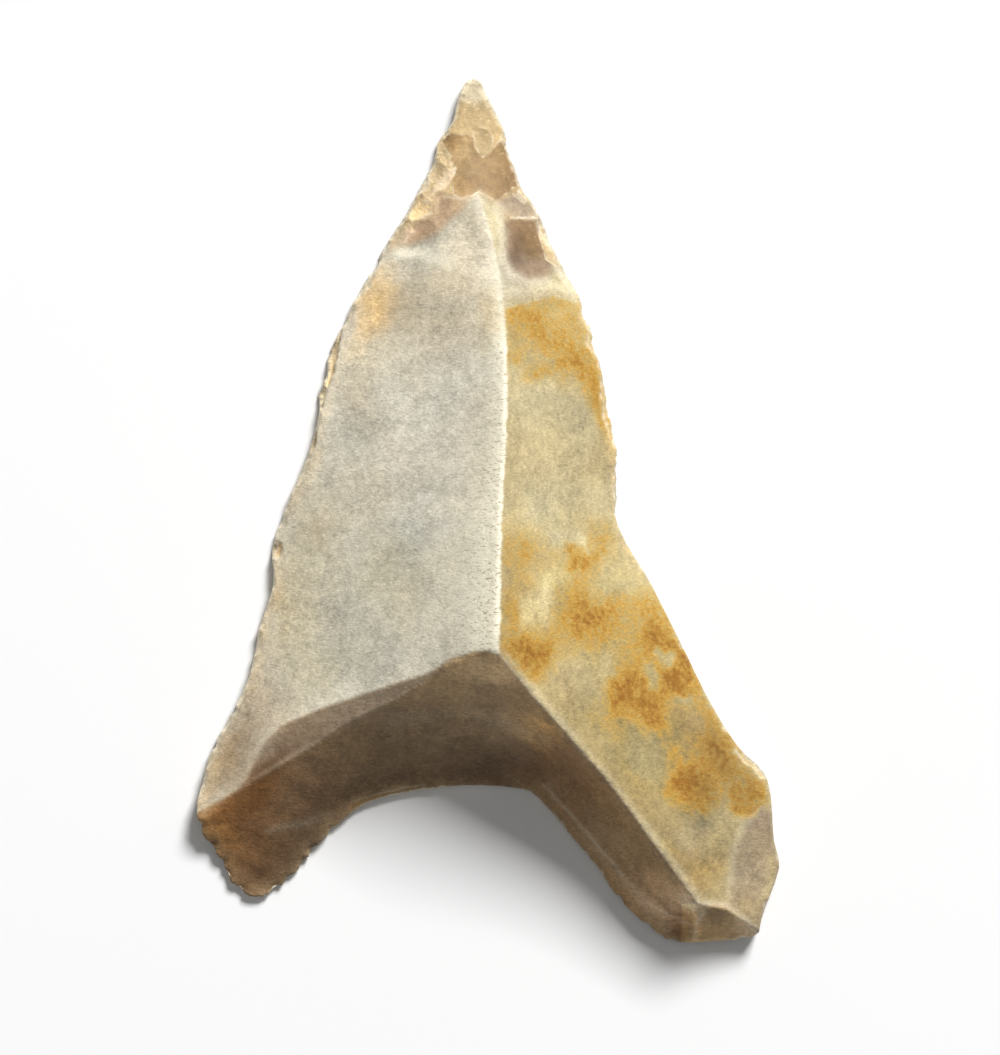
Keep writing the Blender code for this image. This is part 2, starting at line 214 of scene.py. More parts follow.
# Crests that wear has rounded: line, reach across it and passes of smoothing
rounded = [
    ([(-0.8, 22.6), (0.3, 18.4), (1.1, 13.4)], 1.6, 220),
    ([(-1.2, 28.5), (-0.8, 21.0)], 1.8, 260),
    (lines["ridge"][2:], 0.6, 10),
    ([(-3.4, -10.8), summit, (2.4, -12.0)], 0.9, 24),
    ([(-3.8, -11.6), (-6.4, -13.1)], 0.5, 24),
    ([(-16.9, -18.0), (-19.6, -20.7)], 0.7, 30),
    (lines["rightCrest"][1:], 0.35, 8),
    ([(0.6, -10.6), (0.7, -20.0)], 1.5, 90),
    ([(11.9, -23.7), (14.7, -27.5), (18.6, -29.3)], 0.4, 6),
]
easing = 0.6  # how far a vertex moves towards its neighbours in one pass
pointTop = {
    "step": (-0.5, 22.0), "stepReach": 2.0, "stepAbove": 1.2,  # the step under the flute, which is no rim
    "easedAt": (-0.5, 21.6), "easedReach": (1.9, 1.0), "passes": 90,
    "share": 0.96, "between": (20.0, 22.2),  # how much of the top is evened, fully from the second line up
    "samplesFrom": 19.6, "middle": 24, "unit": 4,  # the even curve is fitted above the first line
}
x, y, z = co.T.copy()


def away(spot):
    return np.hypot(x - spot[0], y - spot[1])


insidePoint = (away(pointTop["step"]) < pointTop["stepReach"]) & (z > pointTop["stepAbove"])
steep = np.flatnonzero((np.abs(normal[:, 2]) < 0.3) & ~insidePoint)  # the stone's walls
walls = KDTree(len(steep))
for i in steep:
    walls.insert(co[i], int(i))
walls.balance()
rimGap = np.array([walls.find(p)[2] for p in co])
inland = smooth(0.1, 0.5, rimGap) * np.maximum(smooth(0.0, 0.3, normal[:, 2]), insidePoint)

# The step is eased, and the top of the point drawn towards one even curve, which its scars then cut
onStep = smooth(*pointTop["easedReach"], away(pointTop["easedAt"])) * (z > pointTop["stepAbove"])
for _ in range(pointTop["passes"]):
    x = x + (neighbourMean(x) - x) * easing * onStep
    y = y + (neighbourMean(y) - y) * easing * onStep
    z = z + (neighbourMean(z) - z) * easing * onStep
powers = [(i, j) for i in range(3) for j in range(4 - i)]
height = (y - pointTop["middle"]) / pointTop["unit"]
terms = np.stack([x ** i * height ** j for i, j in powers], 1)
sampled = (y > pointTop["samplesFrom"]) & (normal[:, 2] > 0.15) & (rimGap > 0.3)
even = terms @ np.linalg.lstsq(terms[sampled], z[sampled], rcond=None)[0]
z += (even - z) * pointTop["share"] * inland * smooth(*pointTop["between"], y) * smooth(0.1, 1.0, rimGap)
for marks, reach, passes in rounded:
    share = easing * bell(lineGap(x, y, marks), reach) * inland
    for _ in range(passes):
        z = z + (neighbourMean(z) - z) * share
co = np.stack([x, y, z], 1)
normal = normalsNow(co)

# Places on the stone. The warped ones give ragged edges.
lumps = field(co, 2.2, 4)
lumpsToo = field(co, 2.2, 4, shift=37.0)
fine = field(co, 0.6, 3, shift=5.0)
fineToo = field(co, 0.6, 3, shift=71.0)
back = smooth(0.0, 0.3, normal[:, 2])
warp = {"stain": (0.6, 0.22), "scar": (0.08, 0.07)}  # how far the lumps and the fine noise move an edge
wx = x + lumps * warp["stain"][0] + fine * warp["stain"][1]
wy = y + lumpsToo * warp["stain"][0] + fineToo * warp["stain"][1]
sx = x + lumps * warp["scar"][0] + fine * warp["scar"][1]
sy = y + lumpsToo * warp["scar"][0] + fineToo * warp["scar"][1]
ridgeGap = lineGap(x, y, lines["ridge"])
leftCrestGap = lineGap(x, y, lines["leftCrest"])
rightCrestGap = lineGap(x, y, lines["rightCrest"])
bevelFootGap = lineGap(x, y, lines["bevelFoot"])
flankGap = lineGap(x, y, lines["flank"])

# Scars of the worked point, drawn over the whole of it. "edge" is how soft the edge is, "glow" how bright
# its painted highlight is.
scars = [
    {"colour": (188, 164, 122), "depth": 0.0, "edge": 0.78, "glow": 0,
     "outline": [(-7.9, 17.2), (-6.6, 17.9), (-5.4, 18.0), (-4.3, 18.5), (-3.2, 19.3), (-2.5, 20.1),
                 (-1.7, 21.0), (-0.7, 21.9), (0.1, 21.2), (0.8, 20.5), (1.1, 19.8), (1.1, 18.0),
                 (1.15, 16.7), (1.7, 15.9), (2.6, 15.6), (3.8, 15.8), (4.4, 16.6), (5.6, 16.8), (8.0, 20.0),
                 (2.0, 32.0), (-4.0, 32.0), (-9.0, 20.0)]},
    {"colour": (206, 188, 154), "depth": 0.0, "edge": 0.26, "glow": 0,
     "outline": [(-3.6, 28.4), (-2.1, 28.6), (-1.5, 28.2), (-0.9, 28.05), (-0.2, 28.4), (0.8, 28.6),
                 (0.0, 31.0), (-2.5, 31.0)]},
    {"colour": (159, 132, 94), "depth": 0.04, "edge": 0.1, "glow": 0.45,
     "outline": [(-3.35, 25.6), (-2.9, 25.9), (-2.3, 26.0), (-1.4, 25.95), (-1.0, 25.8), (-0.9, 25.0),
                 (-0.4, 24.4), (0.1, 24.6), (0.4, 25.1), (1.0, 25.7), (1.7, 25.0), (1.9, 23.8), (2.3, 22.8),
                 (1.9, 22.3), (1.4, 21.9), (0.6, 21.3), (-0.2, 21.7), (-0.6, 22.0), (-1.1, 21.7),
                 (-1.9, 21.4), (-2.4, 21.7), (-2.5, 22.6), (-2.4, 23.5), (-2.6, 24.4)]},
    {"colour": (170, 148, 110), "depth": 0.03, "edge": 0.08, "glow": 0.35,
     "outline": [(-1.07, 26.3), (-1.0, 25.6), (-0.95, 25.1), (-0.7, 24.6), (-0.4, 24.35), (-0.1, 24.6),
                 (0.15, 24.95), (0.35, 25.5), (0.2, 26.0), (-0.2, 26.35), (-0.7, 26.5)]},
    {"colour": (218, 192, 148), "depth": 0.04, "edge": 0.12, "glow": 0.35,
     "outline": [(-3.4, 25.5), (-2.7, 24.4), (-2.5, 23.6), (-2.6, 23.2), (-3.1, 22.7), (-3.7, 21.8),
                 (-4.3, 21.3), (-5.6, 21.3), (-4.8, 22.9), (-4.2, 24.3), (-3.7, 25.4)]},
    {"colour": (222, 198, 162), "depth": 0.03, "edge": 0.07, "glow": 0.6,
     "outline": [(-2.27, 23.6), (-2.35, 23.0), (-2.7, 22.4), (-3.2, 21.95), (-3.85, 21.9), (-3.6, 22.4),
                 (-3.2, 23.0), (-2.7, 23.5)]},
    {"colour": (208, 180, 147), "depth": 0.05, "edge": 0.7, "glow": 0,
     "outline": [(-3.4, 21.5), (-2.7, 21.4), (-1.9, 21.4), (-1.3, 21.3), (-1.8, 20.6), (-2.6, 20.0),
                 (-3.2, 19.2), (-4.2, 18.6), (-5.4, 18.3), (-6.6, 18.2), (-6.2, 18.9), (-5.4, 19.6),
                 (-4.7, 19.9), (-3.9, 20.4), (-3.7, 21.1)]},
    {"colour": (232, 204, 154), "depth": 0.07, "edge": 0.06, "glow": 0.8,
     "outline": [(-5.5, 20.2), (-5.3, 20.8), (-4.9, 21.2), (-4.4, 21.3), (-3.85, 21.05), (-4.0, 20.5),
                 (-4.7, 20.1), (-5.3, 19.9)]},
    {"colour": (168, 150, 125), "depth": 0.02, "edge": 0.25, "glow": 0,
     "outline": [(0.7, 21.2), (1.6, 21.7), (2.6, 21.4), (3.4, 20.9), (3.8, 20.1), (2.0, 20.1),
                 (1.2, 20.3)]},
    {"colour": (208, 190, 160), "depth": 0.0, "edge": 0.05, "glow": 0.5,
     "outline": [(2.15, 22.2), (2.35, 21.7), (2.8, 21.35), (2.5, 21.2), (2.0, 21.5), (1.6, 21.75),
                 (2.05, 21.75)]},
    {"colour": (137, 113, 86), "depth": 0.08, "edge": 0.36, "glow": 0,
     "outline": [(1.0, 20.0), (2.4, 20.1), (3.75, 20.15), (3.95, 19.2), (4.3, 18.3), (4.6, 17.4),
                 (4.6, 16.7), (3.9, 15.9), (2.8, 15.6), (1.9, 15.8), (1.3, 16.8), (1.0, 18.4)]},
    {"colour": (190, 166, 126), "depth": 0.03, "edge": 0.1, "glow": 0.4,
     "outline": [(3.7, 19.7), (4.1, 18.9), (4.6, 17.9), (5.2, 17.0), (4.7, 16.8), (4.1, 17.3), (3.8, 18.2),
                 (3.6, 19.0)]},
]
# Bites out of the rim, where the edge has broken away below the bed. The first three are laid in their own
# pale tan made lighter still against the shade on their steep walls: partly painted light.
bites = [
    {"depth": 0.3, "colour": (240, 208, 152),
     "outline": [(-10.1, 13.2), (-10.3, 11.3), (-10.6, 9.6), (-11.2, 8.0), (-11.5, 6.8), (-12.6, 7.0),
                 (-12.4, 9.0), (-11.4, 12.0), (-10.6, 13.4)]},
    {"depth": 0.26, "colour": (234, 200, 144),
     "outline": [(-11.8, 5.8), (-11.95, 4.6), (-12.35, 3.4), (-13.4, 3.0), (-13.2, 5.4)]},
    {"depth": 0.22, "colour": (226, 188, 134),
     "outline": [(-14.35, -2.4), (-14.3, -2.9), (-14.45, -3.4), (-15.4, -3.4), (-15.4, -2.3)]},
    {"depth": 0.22, "colour": (226, 204, 160),
     "outline": [(17.3, -16.9), (17.9, -17.6), (18.5, -18.1), (18.9, -18.8), (20.0, -18.6), (18.6, -16.4)]},
    {"depth": 0.12, "colour": (150, 116, 72),
     "outline": [(-9.6, -20.4), (-8.0, -19.75), (-5.6, -19.35), (-3.6, -19.3), (-3.6, -20.6),
                 (-9.6, -21.6)]},
]
# Chips along the rim and notches in it, then nicks and strokes on the back. Depths of chips and notches
# are shares of their radius.
chips = {
    "number": 560, "radius": (0.16, 0.46), "depth": 0.3, "fromRim": 0.12,
    "leftAbove": -18.5, "rightAbove": -2.0,  # the rim is worked all along above these lines
    "elsewhere": 0.4,  # and in this share of it below them
}
notches = {
    "depth": 0.45,
    "places": [  # x, y and radius
        (-19.9, -21.9, 0.45), (-19.3, -23.5, 0.55), (-18.6, -24.6, 0.4), (-18.1, -25.3, 0.5),
        (-17.2, -26.1, 0.45), (-15.0, -26.1, 0.5), (-14.1, -25.4, 0.45), (-13.0, -24.4, 0.5),
        (-12.4, -23.6, 0.5), (-11.2, -21.9, 0.4), (-17.6, -14.0, 0.4), (-19.3, -16.4, 0.45),
        (9.0, -27.2, 0.4), (11.2, -28.9, 0.45),
    ],
}
nicks = {  # on the worked point
    "number": 130, "length": (0.14, 0.42), "width": (0.09, 0.16), "turn": (-60, 100), "depth": 0.03,
    "pale": 0.35, "above": 16.5, "fromRim": 1.5,
}
strokes = {  # in the patina beside the ridge
    "number": 260, "length": (0.35, 0.8), "width": (0.16, 0.22), "depth": 0.026,
    "heading": 28, "spread": 14,
    "along": (-9.0, 15.0), "fromRidge": 0.25, "reach": 1.5,
}

dent = np.zeros(count)  # how far each vertex goes in
fresh = np.zeros(count)  # 1 on the worked point
struck = np.zeros((count, 3))  # the colours of its scars
edgeGap = np.full(count, 9.0)  # distance to the nearest bright edge
# how strong the painted highlight on the nearest scar edge is
edgeHighlight = np.zeros(count)
inBright = np.zeros(count, dtype=bool)  # inside an odd number of scars with bright edges


def paint(red, green, blue):
    # a screen colour, 0 to 255, as the shader wants it
    parts = [c / 255 for c in (red, green, blue)]
    return [c / 12.92 if c <= 0.04045 else ((c + 0.055) / 1.055) ** 2.4 for c in parts] + [1.0]


def lay(layer, colour, cover):
    # the colour put over the layer's own as far as it covers
    layer[:] += (np.array(paint(*colour)[:3]) - layer) * cover[:, None]


for scar in scars:
    gap = shapeGap(sx, sy, scar["outline"])
    cover = smooth(-scar["edge"], scar["edge"], gap) * back
    dent = np.maximum(dent, scar["depth"] * smooth(-0.03, 0.4, gap) * back)
    lay(struck, scar["colour"], cover)
    fresh = np.maximum(fresh, cover)
    if scar["glow"]:
        nearer = np.abs(gap) < np.abs(edgeGap)
        edgeGap = np.where(nearer, gap, edgeGap)
        edgeHighlight = np.where(nearer, scar["glow"], edgeHighlight)
        inBright ^= gap > 0
edgeGap = np.abs(edgeGap) * np.where(inBright, 1, -1)
for bite in bites:
    gap = shapeGap(sx, sy, bite["outline"])
    dent = np.maximum(dent, bite["depth"] * smooth(-0.05, 0.2, gap) * back)
    bite["cover"] = smooth(-0.02, 0.12, gap) * back

rimTop = np.flatnonzero((rimGap < chips["fromRim"]) & (normal[:, 2] > 0.15))
worked = []
for i in rimTop:
    onEdge = (x[i] < 0 and y[i] > chips["leftAbove"]) or (x[i] > 0 and y[i] > chips["rightAbove"])
    if onEdge or dice.random() < chips["elsewhere"]:
        worked.append(i)
crushed = np.zeros(count)
for i in dice.sample(worked, chips["number"]):
    radius = dice.uniform(*chips["radius"])
    r = np.sqrt(((co - co[i]) ** 2).sum(1)) / radius
    near = r < 1
    dent[near] = np.maximum(dent[near], chips["depth"] * radius * (1 - r[near] ** 2))
    crushed[near] = np.maximum(crushed[near], 1 - r[near])

for spotX, spotY, radius in notches["places"]:
    at = steep[np.argmin(np.hypot(x[steep] - spotX, y[steep] - spotY))]
    r = np.sqrt((x - x[at]) ** 2 + (y - y[at]) ** 2) / radius
    dent = np.maximum(dent, np.where(r < 1, notches["depth"] * radius * (1 - r * r), 0))

nearRim = (y > nicks["above"]) & (rimGap < nicks["fromRim"])
onPoint = np.flatnonzero(nearRim & (normal[:, 2] > 0.3) & (fresh > 0.9))
for i in dice.sample([int(i) for i in onPoint], nicks["number"]):
    near = np.flatnonzero((np.abs(x - x[i]) < 0.5) & (np.abs(y - y[i]) < 0.5))
    turn, length, width = [dice.uniform(*nicks[part]) for part in ("turn", "length", "width")]
    r = patch(x[near], y[near], (x[i], y[i]), turn, length, width)
    nick = np.clip(1 - r * r, 0, 1)
    dent[near] += nick * nicks["depth"]
    struck[near] *= 1 + nicks["pale"] * nick[:, None]

strokeMask = np.zeros(count)
ridgeX, ridgeY = zip(*lines["ridge"][::-1])
for _ in range(strokes["number"]):
    spotY = dice.uniform(*strokes["along"])
    spotX = float(np.interp(spotY, ridgeY, ridgeX)) - strokes["fromRidge"]
    spotX -= strokes["reach"] * dice.random() ** 1.8
    length = dice.uniform(*strokes["length"])
    width = dice.uniform(*strokes["width"])
    near = np.flatnonzero((np.abs(x - spotX) < 1) & (np.abs(y - spotY) < 1))
    turn = strokes["heading"] + dice.uniform(-strokes["spread"], strokes["spread"])
    r = patch(x[near], y[near], (spotX, spotY), turn, length, width)
    groove = np.clip(1 - r * r, 0, 1) * back[near]
    dent[near] += groove * strokes["depth"]
    strokeMask[near] = np.maximum(strokeMask[near], groove)

# Ripples run across the base bed in arcs, as on a shell, from a centre beyond the summit
ripples = {"centre": (-0.5, -4.0), "spacing": 2.1, "height": 0.02, "bend": 0.5}
baseTop = -9.9  # at the summit the base bed starts below this line
baseDepth = np.minimum(np.where(x < 3, leftCrestGap, 9), np.where(x > -3, -rightCrestGap, 9))
baseDepth = np.where(away(summit) < 0.35, np.minimum(baseDepth, baseTop - y), baseDepth)
baseBed = smooth(-0.16, 0.16, baseDepth + 0.05 * lumps) * back
ripplePath = away(ripples["centre"]) + lumps * ripples["bend"]
ripple = np.sin(ripplePath * 2 * math.pi / ripples["spacing"]) * baseBed * smooth(0.8, 3.0, baseDepth)

lift = ripple * ripples["height"] - dent
for size, height, octaves in stone["waves"]:
    lift += height * field(co, size, octaves)
co = np.clip(co + normal * lift[:, None], sharp.min(0), sharp.max(0))
normal = normalsNow(co)
print("stone: relief done")

# The beds of the stone. A pair says where a bed starts and where it is full: past its line, or at a place
# for "LeftOf" and "Below". "wander" bends the flank's edges.
bedEdges = {
    "right": (-0.06, 0.14), "bevel": (-0.12, 0.3), "bevelFoot": (0.08, -0.08), "bevelLeftOf": (-2.2, -4.5),
    "flank": (-0.35, 0.35), "flankBelow": (-20.2, -21.2), "heel": (0.1, -0.1), "wander": 0.3,
}
rightBed = smooth(*bedEdges["right"], ridgeGap) * (y > summit[1])
rightBed += smooth(*bedEdges["right"], rightCrestGap) * (y <= summit[1]) * (x > summit[0])
rightBed *= back * (1 - baseBed)
bevel = smooth(*bedEdges["bevel"], leftCrestGap) * (x < summit[0]) * back
bevel *= smooth(*bedEdges["bevelFoot"], bevelFootGap) * smooth(*bedEdges["bevelLeftOf"], x)
wander = lumps * bedEdges["wander"]
flank = smooth(*bedEdges["flank"], flankGap + wander) * smooth(*bedEdges["flankBelow"], y + wander)
flank *= (x > 10) * back * (1 - baseBed)
heel = smooth(*bedEdges["heel"], lineGap(x, y, lines["heel"])) * (x > 13.4) * (y < -26.0) * back
beds = {
    "left": back * (1 - rightBed) * (1 - baseBed), "right": rightBed * (1 - flank) * (1 - heel),
    "base": baseBed, "flank": flank, "heel": heel,
}

# The stone's colours, laid one over the other on its vertices
colours = {
    # patina, on the left bed, is set lighter and olive, on the right bed, darker than the stone's own
    # colours, to even out the key lamp that falls more on the right bed: partly painted light and shade
    "belly": (200, 190, 168), "patina": (213, 205, 184), "olive": (181, 166, 127), "base": (162, 136, 103),
    "bevel": (157, 138, 115), "flank": (154, 137, 110), "heel": (196, 168, 124),
    # The last colour here is a painted highlight on the left rim where it turns down
    "leftRim": (238, 208, 160), "rightRim": (232, 200, 146), "turned": (252, 238, 208),
}
coat = np.zeros((count, 3))


def wash(cover, tint):
    # the coat times the tint, which is one number or one each for red, green and blue
    coat[:] *= 1 + (np.array(tint) - 1) * cover[:, None]


def blot(spot, turn, length, width, fall=1.1, power=2.4):
    # 1 in the middle of a ragged oval, fading away around it
    return np.exp(-fall * patch(wx, wy, spot, turn, length, width) ** power)


bedCovers = {
    "belly": np.ones(count), "patina": beds["left"], "olive": rightBed, "base": baseBed, "bevel": bevel,
    "flank": flank, "heel": heel,
}
for name, cover in bedCovers.items():
    lay(coat, colours[name], cover)

# Washes of colour over each bed: spot, turn, length, width and tint
washes = {
    "left": [
        ((-3.5, 13.0), -75, 7.5, 5.5, (0.93, 0.87, 0.8)), ((-3.0, 15.5), 0, 4.0, 2.0, (1.0, 0.97, 0.92)),
        ((-5.0, 5.0), 70, 9.0, 6.5, (1.03, 1.05, 1.09)), ((-9.0, 8.0), 60, 4.0, 2.2, (0.95, 0.92, 0.9)),
        ((-7.0, -4.5), 40, 8.0, 6.5, (0.92, 0.93, 0.9)), ((-1.6, -2.0), 80, 9.0, 3.0, (1.02, 1.04, 1.05)),
        ((-11.6, -1.0), 75, 6.0, 2.8, (0.8, 0.79, 0.78)),
        ((-10.5, -10.5), 20, 6.0, 4.0, (0.92, 0.92, 0.87)),
        ((-4.5, -9.8), 18, 9.0, 2.0, (0.95, 0.96, 0.97)), ((-7.8, 14.3), 72, 5.4, 2.9, (1.22, 0.93, 0.56)),
        ((-9.2, 11.3), 66, 3.6, 1.7, (1.06, 0.97, 0.8)), ((-16.8, -15.6), 60, 8.0, 4.6, (0.72, 0.63, 0.56)),
        ((-18.2, -17.6), 62, 6.0, 1.6, (1.05, 0.92, 0.76)),
        ((-15.9, -17.6), 45, 2.6, 1.0, (1.18, 1.2, 1.25)), ((-13.9, -6.0), 80, 7.0, 1.4, (1.04, 0.99, 0.9)),
        ((-14.5, -16.7), 30, 5.0, 1.8, (0.9, 0.85, 0.8)), ((-1.2, 18.4), 78, 7.5, 3.4, (1.08, 1.06, 1.06)),
        ((-0.6, 20.4), 80, 3.4, 2.4, (0.8, 0.79, 0.77)), ((-8.4, 10.2), 60, 4.0, 2.4, (1.14, 1.14, 1.12)),
        ((-13.0, -8.0), 75, 5.0, 2.6, (1.26, 1.24, 1.15)),
        ((-17.5, -18.0), 52, 4.4, 2.0, (0.8, 0.81, 0.81)),
        ((-17.4, -19.0), 38, 5.0, 2.0, (0.79, 0.7, 0.62)), ((-2.0, 17.4), 80, 5.4, 3.2, (1.2, 1.2, 1.18)),
        ((0.2, 13.0), 85, 4.6, 1.8, (0.8, 0.71, 0.56)), ((-6.2, 13.6), 75, 4.8, 3.0, (0.86, 0.81, 0.74)),
        ((-6.6, 7.8), 30, 6.5, 3.4, (1.15, 1.15, 1.14)), ((-7.6, -8.2), 20, 5.5, 2.6, (0.87, 0.87, 0.86)),
        ((-15.2, -12.8), 60, 4.4, 2.4, 1.14), ((-3.4, -7.0), 75, 5.0, 2.0, 1.12),
        ((-9.8, 11.5), 66, 4.6, 2.4, (1.27, 1.31, 1.46)), ((-13.6, -9.4), 75, 5.0, 2.2, 0.92),
        ((-12.6, -3.0), 75, 10.0, 3.4, (1.02, 0.99, 0.92)), ((-4.0, 2.0), 80, 11.0, 5.8, (0.98, 1.0, 1.05)),
        ((-12.2, 2.8), 70, 4.2, 2.0, (1.16, 1.11, 1.04)), ((-11.8, -3.0), 75, 4.4, 2.0, (1.15, 1.14, 1.12)),
    ],
    "right": [
        ((3.6, -6.5), 55, 4.4, 1.7, (1.48, 1.56, 1.66)), ((8.7, -4.9), 15, 2.6, 1.5, (1.1, 1.06, 0.88)),
        ((7.8, 3.6), 80, 5.0, 1.8, (0.86, 0.83, 0.76)), ((3.8, -0.2), 50, 6.0, 3.2, (1.18, 1.22, 1.28)),
        ((13.5, -24.2), 0, 3.0, 2.0, (0.86, 0.82, 0.78)), ((5.0, -4.4), 30, 3.0, 1.6, (1.14, 1.16, 1.06)),
        ((14.0, -15.0), -40, 4.4, 2.4, (1.02, 0.87, 0.7)),
        ((11.5, -18.5), -50, 26.0, 11.0, (0.88, 0.85, 0.77)),
        ((12.4, -21.6), -50, 6.0, 2.6, (0.84, 0.82, 0.8)),
        ((15.0, -25.0), 60, 4.5, 3.0, (0.71, 0.65, 0.56)), ((1.6, 16.8), 85, 7.0, 2.4, (0.98, 1.05, 1.24)),
        ((4.0, 15.3), 0, 5.0, 1.1, (1.3, 1.34, 1.4)), ((15.0, -27.3), 0, 3.0, 1.0, (1.06, 1.04, 1.1)),
        ((8.6, 5.0), -80, 5.0, 0.9, (1.22, 1.1, 0.92)), ((10.4, -17.4), -50, 7.0, 2.2, (0.96, 0.98, 0.96)),
        ((5.6, -12.0), -50, 5.0, 2.6, (0.98, 0.98, 1.0)), ((8.6, -15.6), -60, 6.6, 4.0, (0.76, 0.79, 0.83)),
        ((12.6, -15.8), -85, 7.0, 3.4, (0.76, 0.76, 0.72)),
        ((10.2, -20.2), -50, 9.0, 2.0, (0.87, 0.87, 0.88)), ((6.2, 3.6), 0, 4.6, 4.4, (1.2, 1.21, 1.24)),
        ((3.4, 7.4), 0, 4.0, 3.0, (1.12, 1.13, 1.14)), ((1.4, -5.6), 88, 6.4, 1.5, (0.84, 0.8, 0.76)),
        ((11.3, -6.6), -50, 3.6, 2.2, (1.15, 1.18, 1.2)), ((2.9, 16.5), 0, 3.4, 1.3, (0.8, 0.78, 0.8)),
        ((11.5, -12.5), -55, 15.0, 8.0, (0.9, 0.88, 0.78)),
        ((13.8, -18.8), -75, 6.4, 3.0, (0.78, 0.8, 0.82)), ((1.8, 16.5), 60, 4.2, 2.6, (0.7, 0.68, 0.73)),
        ((5.4, -2.6), 0, 3.6, 2.6, (1.32, 1.34, 1.36)), ((14.8, -24.2), 0, 2.8, 2.2, 1.14),
        ((14.2, -20.8), 0, 2.8, 2.4, (0.8, 0.82, 0.86)), ((15.6, -26.8), 0, 2.8, 1.8, (0.82, 0.83, 0.86)),
        ((16.0, -18.7), -60, 4.0, 2.2, (0.85, 0.85, 0.88)), ((3.2, -7.4), -70, 6.0, 4.0, (1.0, 0.95, 0.83)),
        ((8.7, -2.6), -60, 3.4, 1.8, (1.04, 0.96, 0.78)), ((14.0, -23.2), -50, 3.2, 2.2, (1.05, 1.07, 1.2)),
        ((3.4, 14.9), 0, 3.4, 1.0, (0.9, 0.88, 0.94)), ((8.6, -18.3), -50, 24.0, 2.8, (1.0, 0.95, 0.83)),
        ((7.3, -11.4), -40, 3.4, 2.4, 1.14), ((1.6, 12.6), 88, 4.0, 1.4, (0.87, 0.82, 0.72)),
    ],
    "base": [
        # The first wash here darkens the summit where it rounds over into the base bed: painted shade
        ((-1.6, -10.1), 20, 4.4, 0.8, (0.6, 0.6, 0.62)), ((-1.0, -11.4), 15, 7.0, 2.8, (1.84, 1.86, 1.76)),
        ((0.5, -18.2), 5, 9.0, 2.6, (0.64, 0.57, 0.54)), ((-8.0, -17.0), 28, 8.0, 3.6, (0.66, 0.65, 0.63)),
        ((-12.0, -19.0), 40, 6.0, 4.4, (0.66, 0.61, 0.59)),
        ((-15.0, -17.2), 42, 4.4, 1.8, (0.55, 0.48, 0.42)),
        ((-16.5, -22.8), 60, 9.0, 7.0, (0.52, 0.4, 0.31)),
        ((-16.4, -19.5), 33, 8.0, 3.2, (0.84, 0.62, 0.4)),
        ((-13.2, -23.6), 55, 7.4, 4.2, (0.38, 0.38, 0.4)),
        ((-18.8, -21.8), -75, 5.0, 2.4, (1.62, 1.42, 1.02)),
        ((14.0, -27.5), -42, 1.8, 1.0, (1.36, 1.55, 1.75)),
        ((-13.0, -20.8), 25, 4.0, 0.7, (1.25, 1.2, 1.15)), ((-14.6, -24.4), 50, 4.4, 1.2, (1.2, 1.15, 1.1)),
        ((0.5, -14.3), -8, 8.0, 0.9, (1.3, 1.28, 1.26)), ((-5.0, -15.0), 14, 5.0, 0.8, 1.1),
        ((5.4, -18.6), -50, 9.0, 4.0, (0.88, 0.72, 0.54)),
        ((10.0, -23.8), -50, 7.0, 3.0, (1.06, 1.02, 0.92)),
        # This wash lightens the hollow by the heel, whose slope turns away from the key lamp: painted light
        ((12.9, -26.9), -42, 5.4, 2.4, (1.62, 1.64, 1.74)),
        ((9.0, -26.6), -48, 9.0, 1.0, (1.06, 0.98, 0.84)), ((14.4, -28.9), 85, 2.0, 0.5, (1.35, 1.3, 1.25)),
        ((13.3, -28.8), 0, 2.2, 1.8, (0.78, 0.68, 0.6)), ((-3.4, -17.8), 5, 14.0, 3.4, (0.7, 0.69, 0.7)),
        ((-10.6, -20.2), 25, 5.4, 2.6, (0.66, 0.64, 0.62)),
        ((-15.6, -25.7), 15, 4.4, 2.6, (0.6, 0.53, 0.49)),
        ((11.6, -27.8), -45, 5.6, 2.6, (1.42, 1.4, 1.45)),
        ((3.6, -15.2), -50, 4.2, 2.0, (1.62, 1.52, 1.28)),
        ((0.4, -11.3), -15, 5.4, 1.8, (1.28, 1.28, 1.26)),
        ((10.0, -25.2), -50, 5.4, 2.2, (1.22, 1.19, 1.22)), ((-2.6, -11.0), 15, 3.0, 1.8, 1.18),
        ((-9.8, -17.6), 25, 8.4, 2.2, (1.15, 1.15, 1.14)),
        ((-12.6, -15.6), 28, 6.0, 2.0, (0.87, 0.86, 0.85)),
        ((-17.0, -21.8), 30, 3.8, 1.8, (1.2, 1.18, 1.16)),
        ((9.8, -21.6), -52, 11.0, 2.4, (1.1, 1.04, 0.85)), ((-7.0, -18.9), 12, 6.0, 1.7, (0.7, 0.66, 0.64)),
        ((1.8, -15.2), 0, 5.6, 1.1, 1.15), ((-1.6, -16.4), 5, 6.4, 1.5, 0.87),
        ((-2.2, -13.2), 10, 3.8, 1.6, 0.89), ((-11.6, -19.3), 35, 5.0, 1.4, (1.14, 1.13, 1.12)),
        ((-7.0, -16.5), 80, 3.8, 1.8, 1.12), ((12.9, -28.1), 0, 2.0, 1.8, 1.22),
        ((4.2, -15.0), 0, 2.8, 2.0, (1.38, 1.4, 1.26)), ((-6.2, -18.9), 20, 2.6, 1.6, (0.88, 0.85, 0.82)),
        ((2.0, -12.8), -45, 2.6, 1.7, (1.16, 1.12, 1.04)), ((1.6, -11.5), -45, 2.8, 1.7, 1.2),
        ((4.4, -14.2), -50, 3.4, 1.6, (1.05, 1.0, 0.87)),
    ],
    "flank": [
        ((18.6, -25.4), 80, 4.6, 2.0, (1.2, 1.22, 1.25)), ((18.9, -21.6), 0, 2.6, 2.0, (0.94, 0.92, 0.96)),
        ((19.4, -25.6), 75, 6.0, 1.0, (1.4, 1.46, 1.3)), ((17.4, -27.6), 0, 2.6, 1.8, (1.16, 1.14, 1.02)),
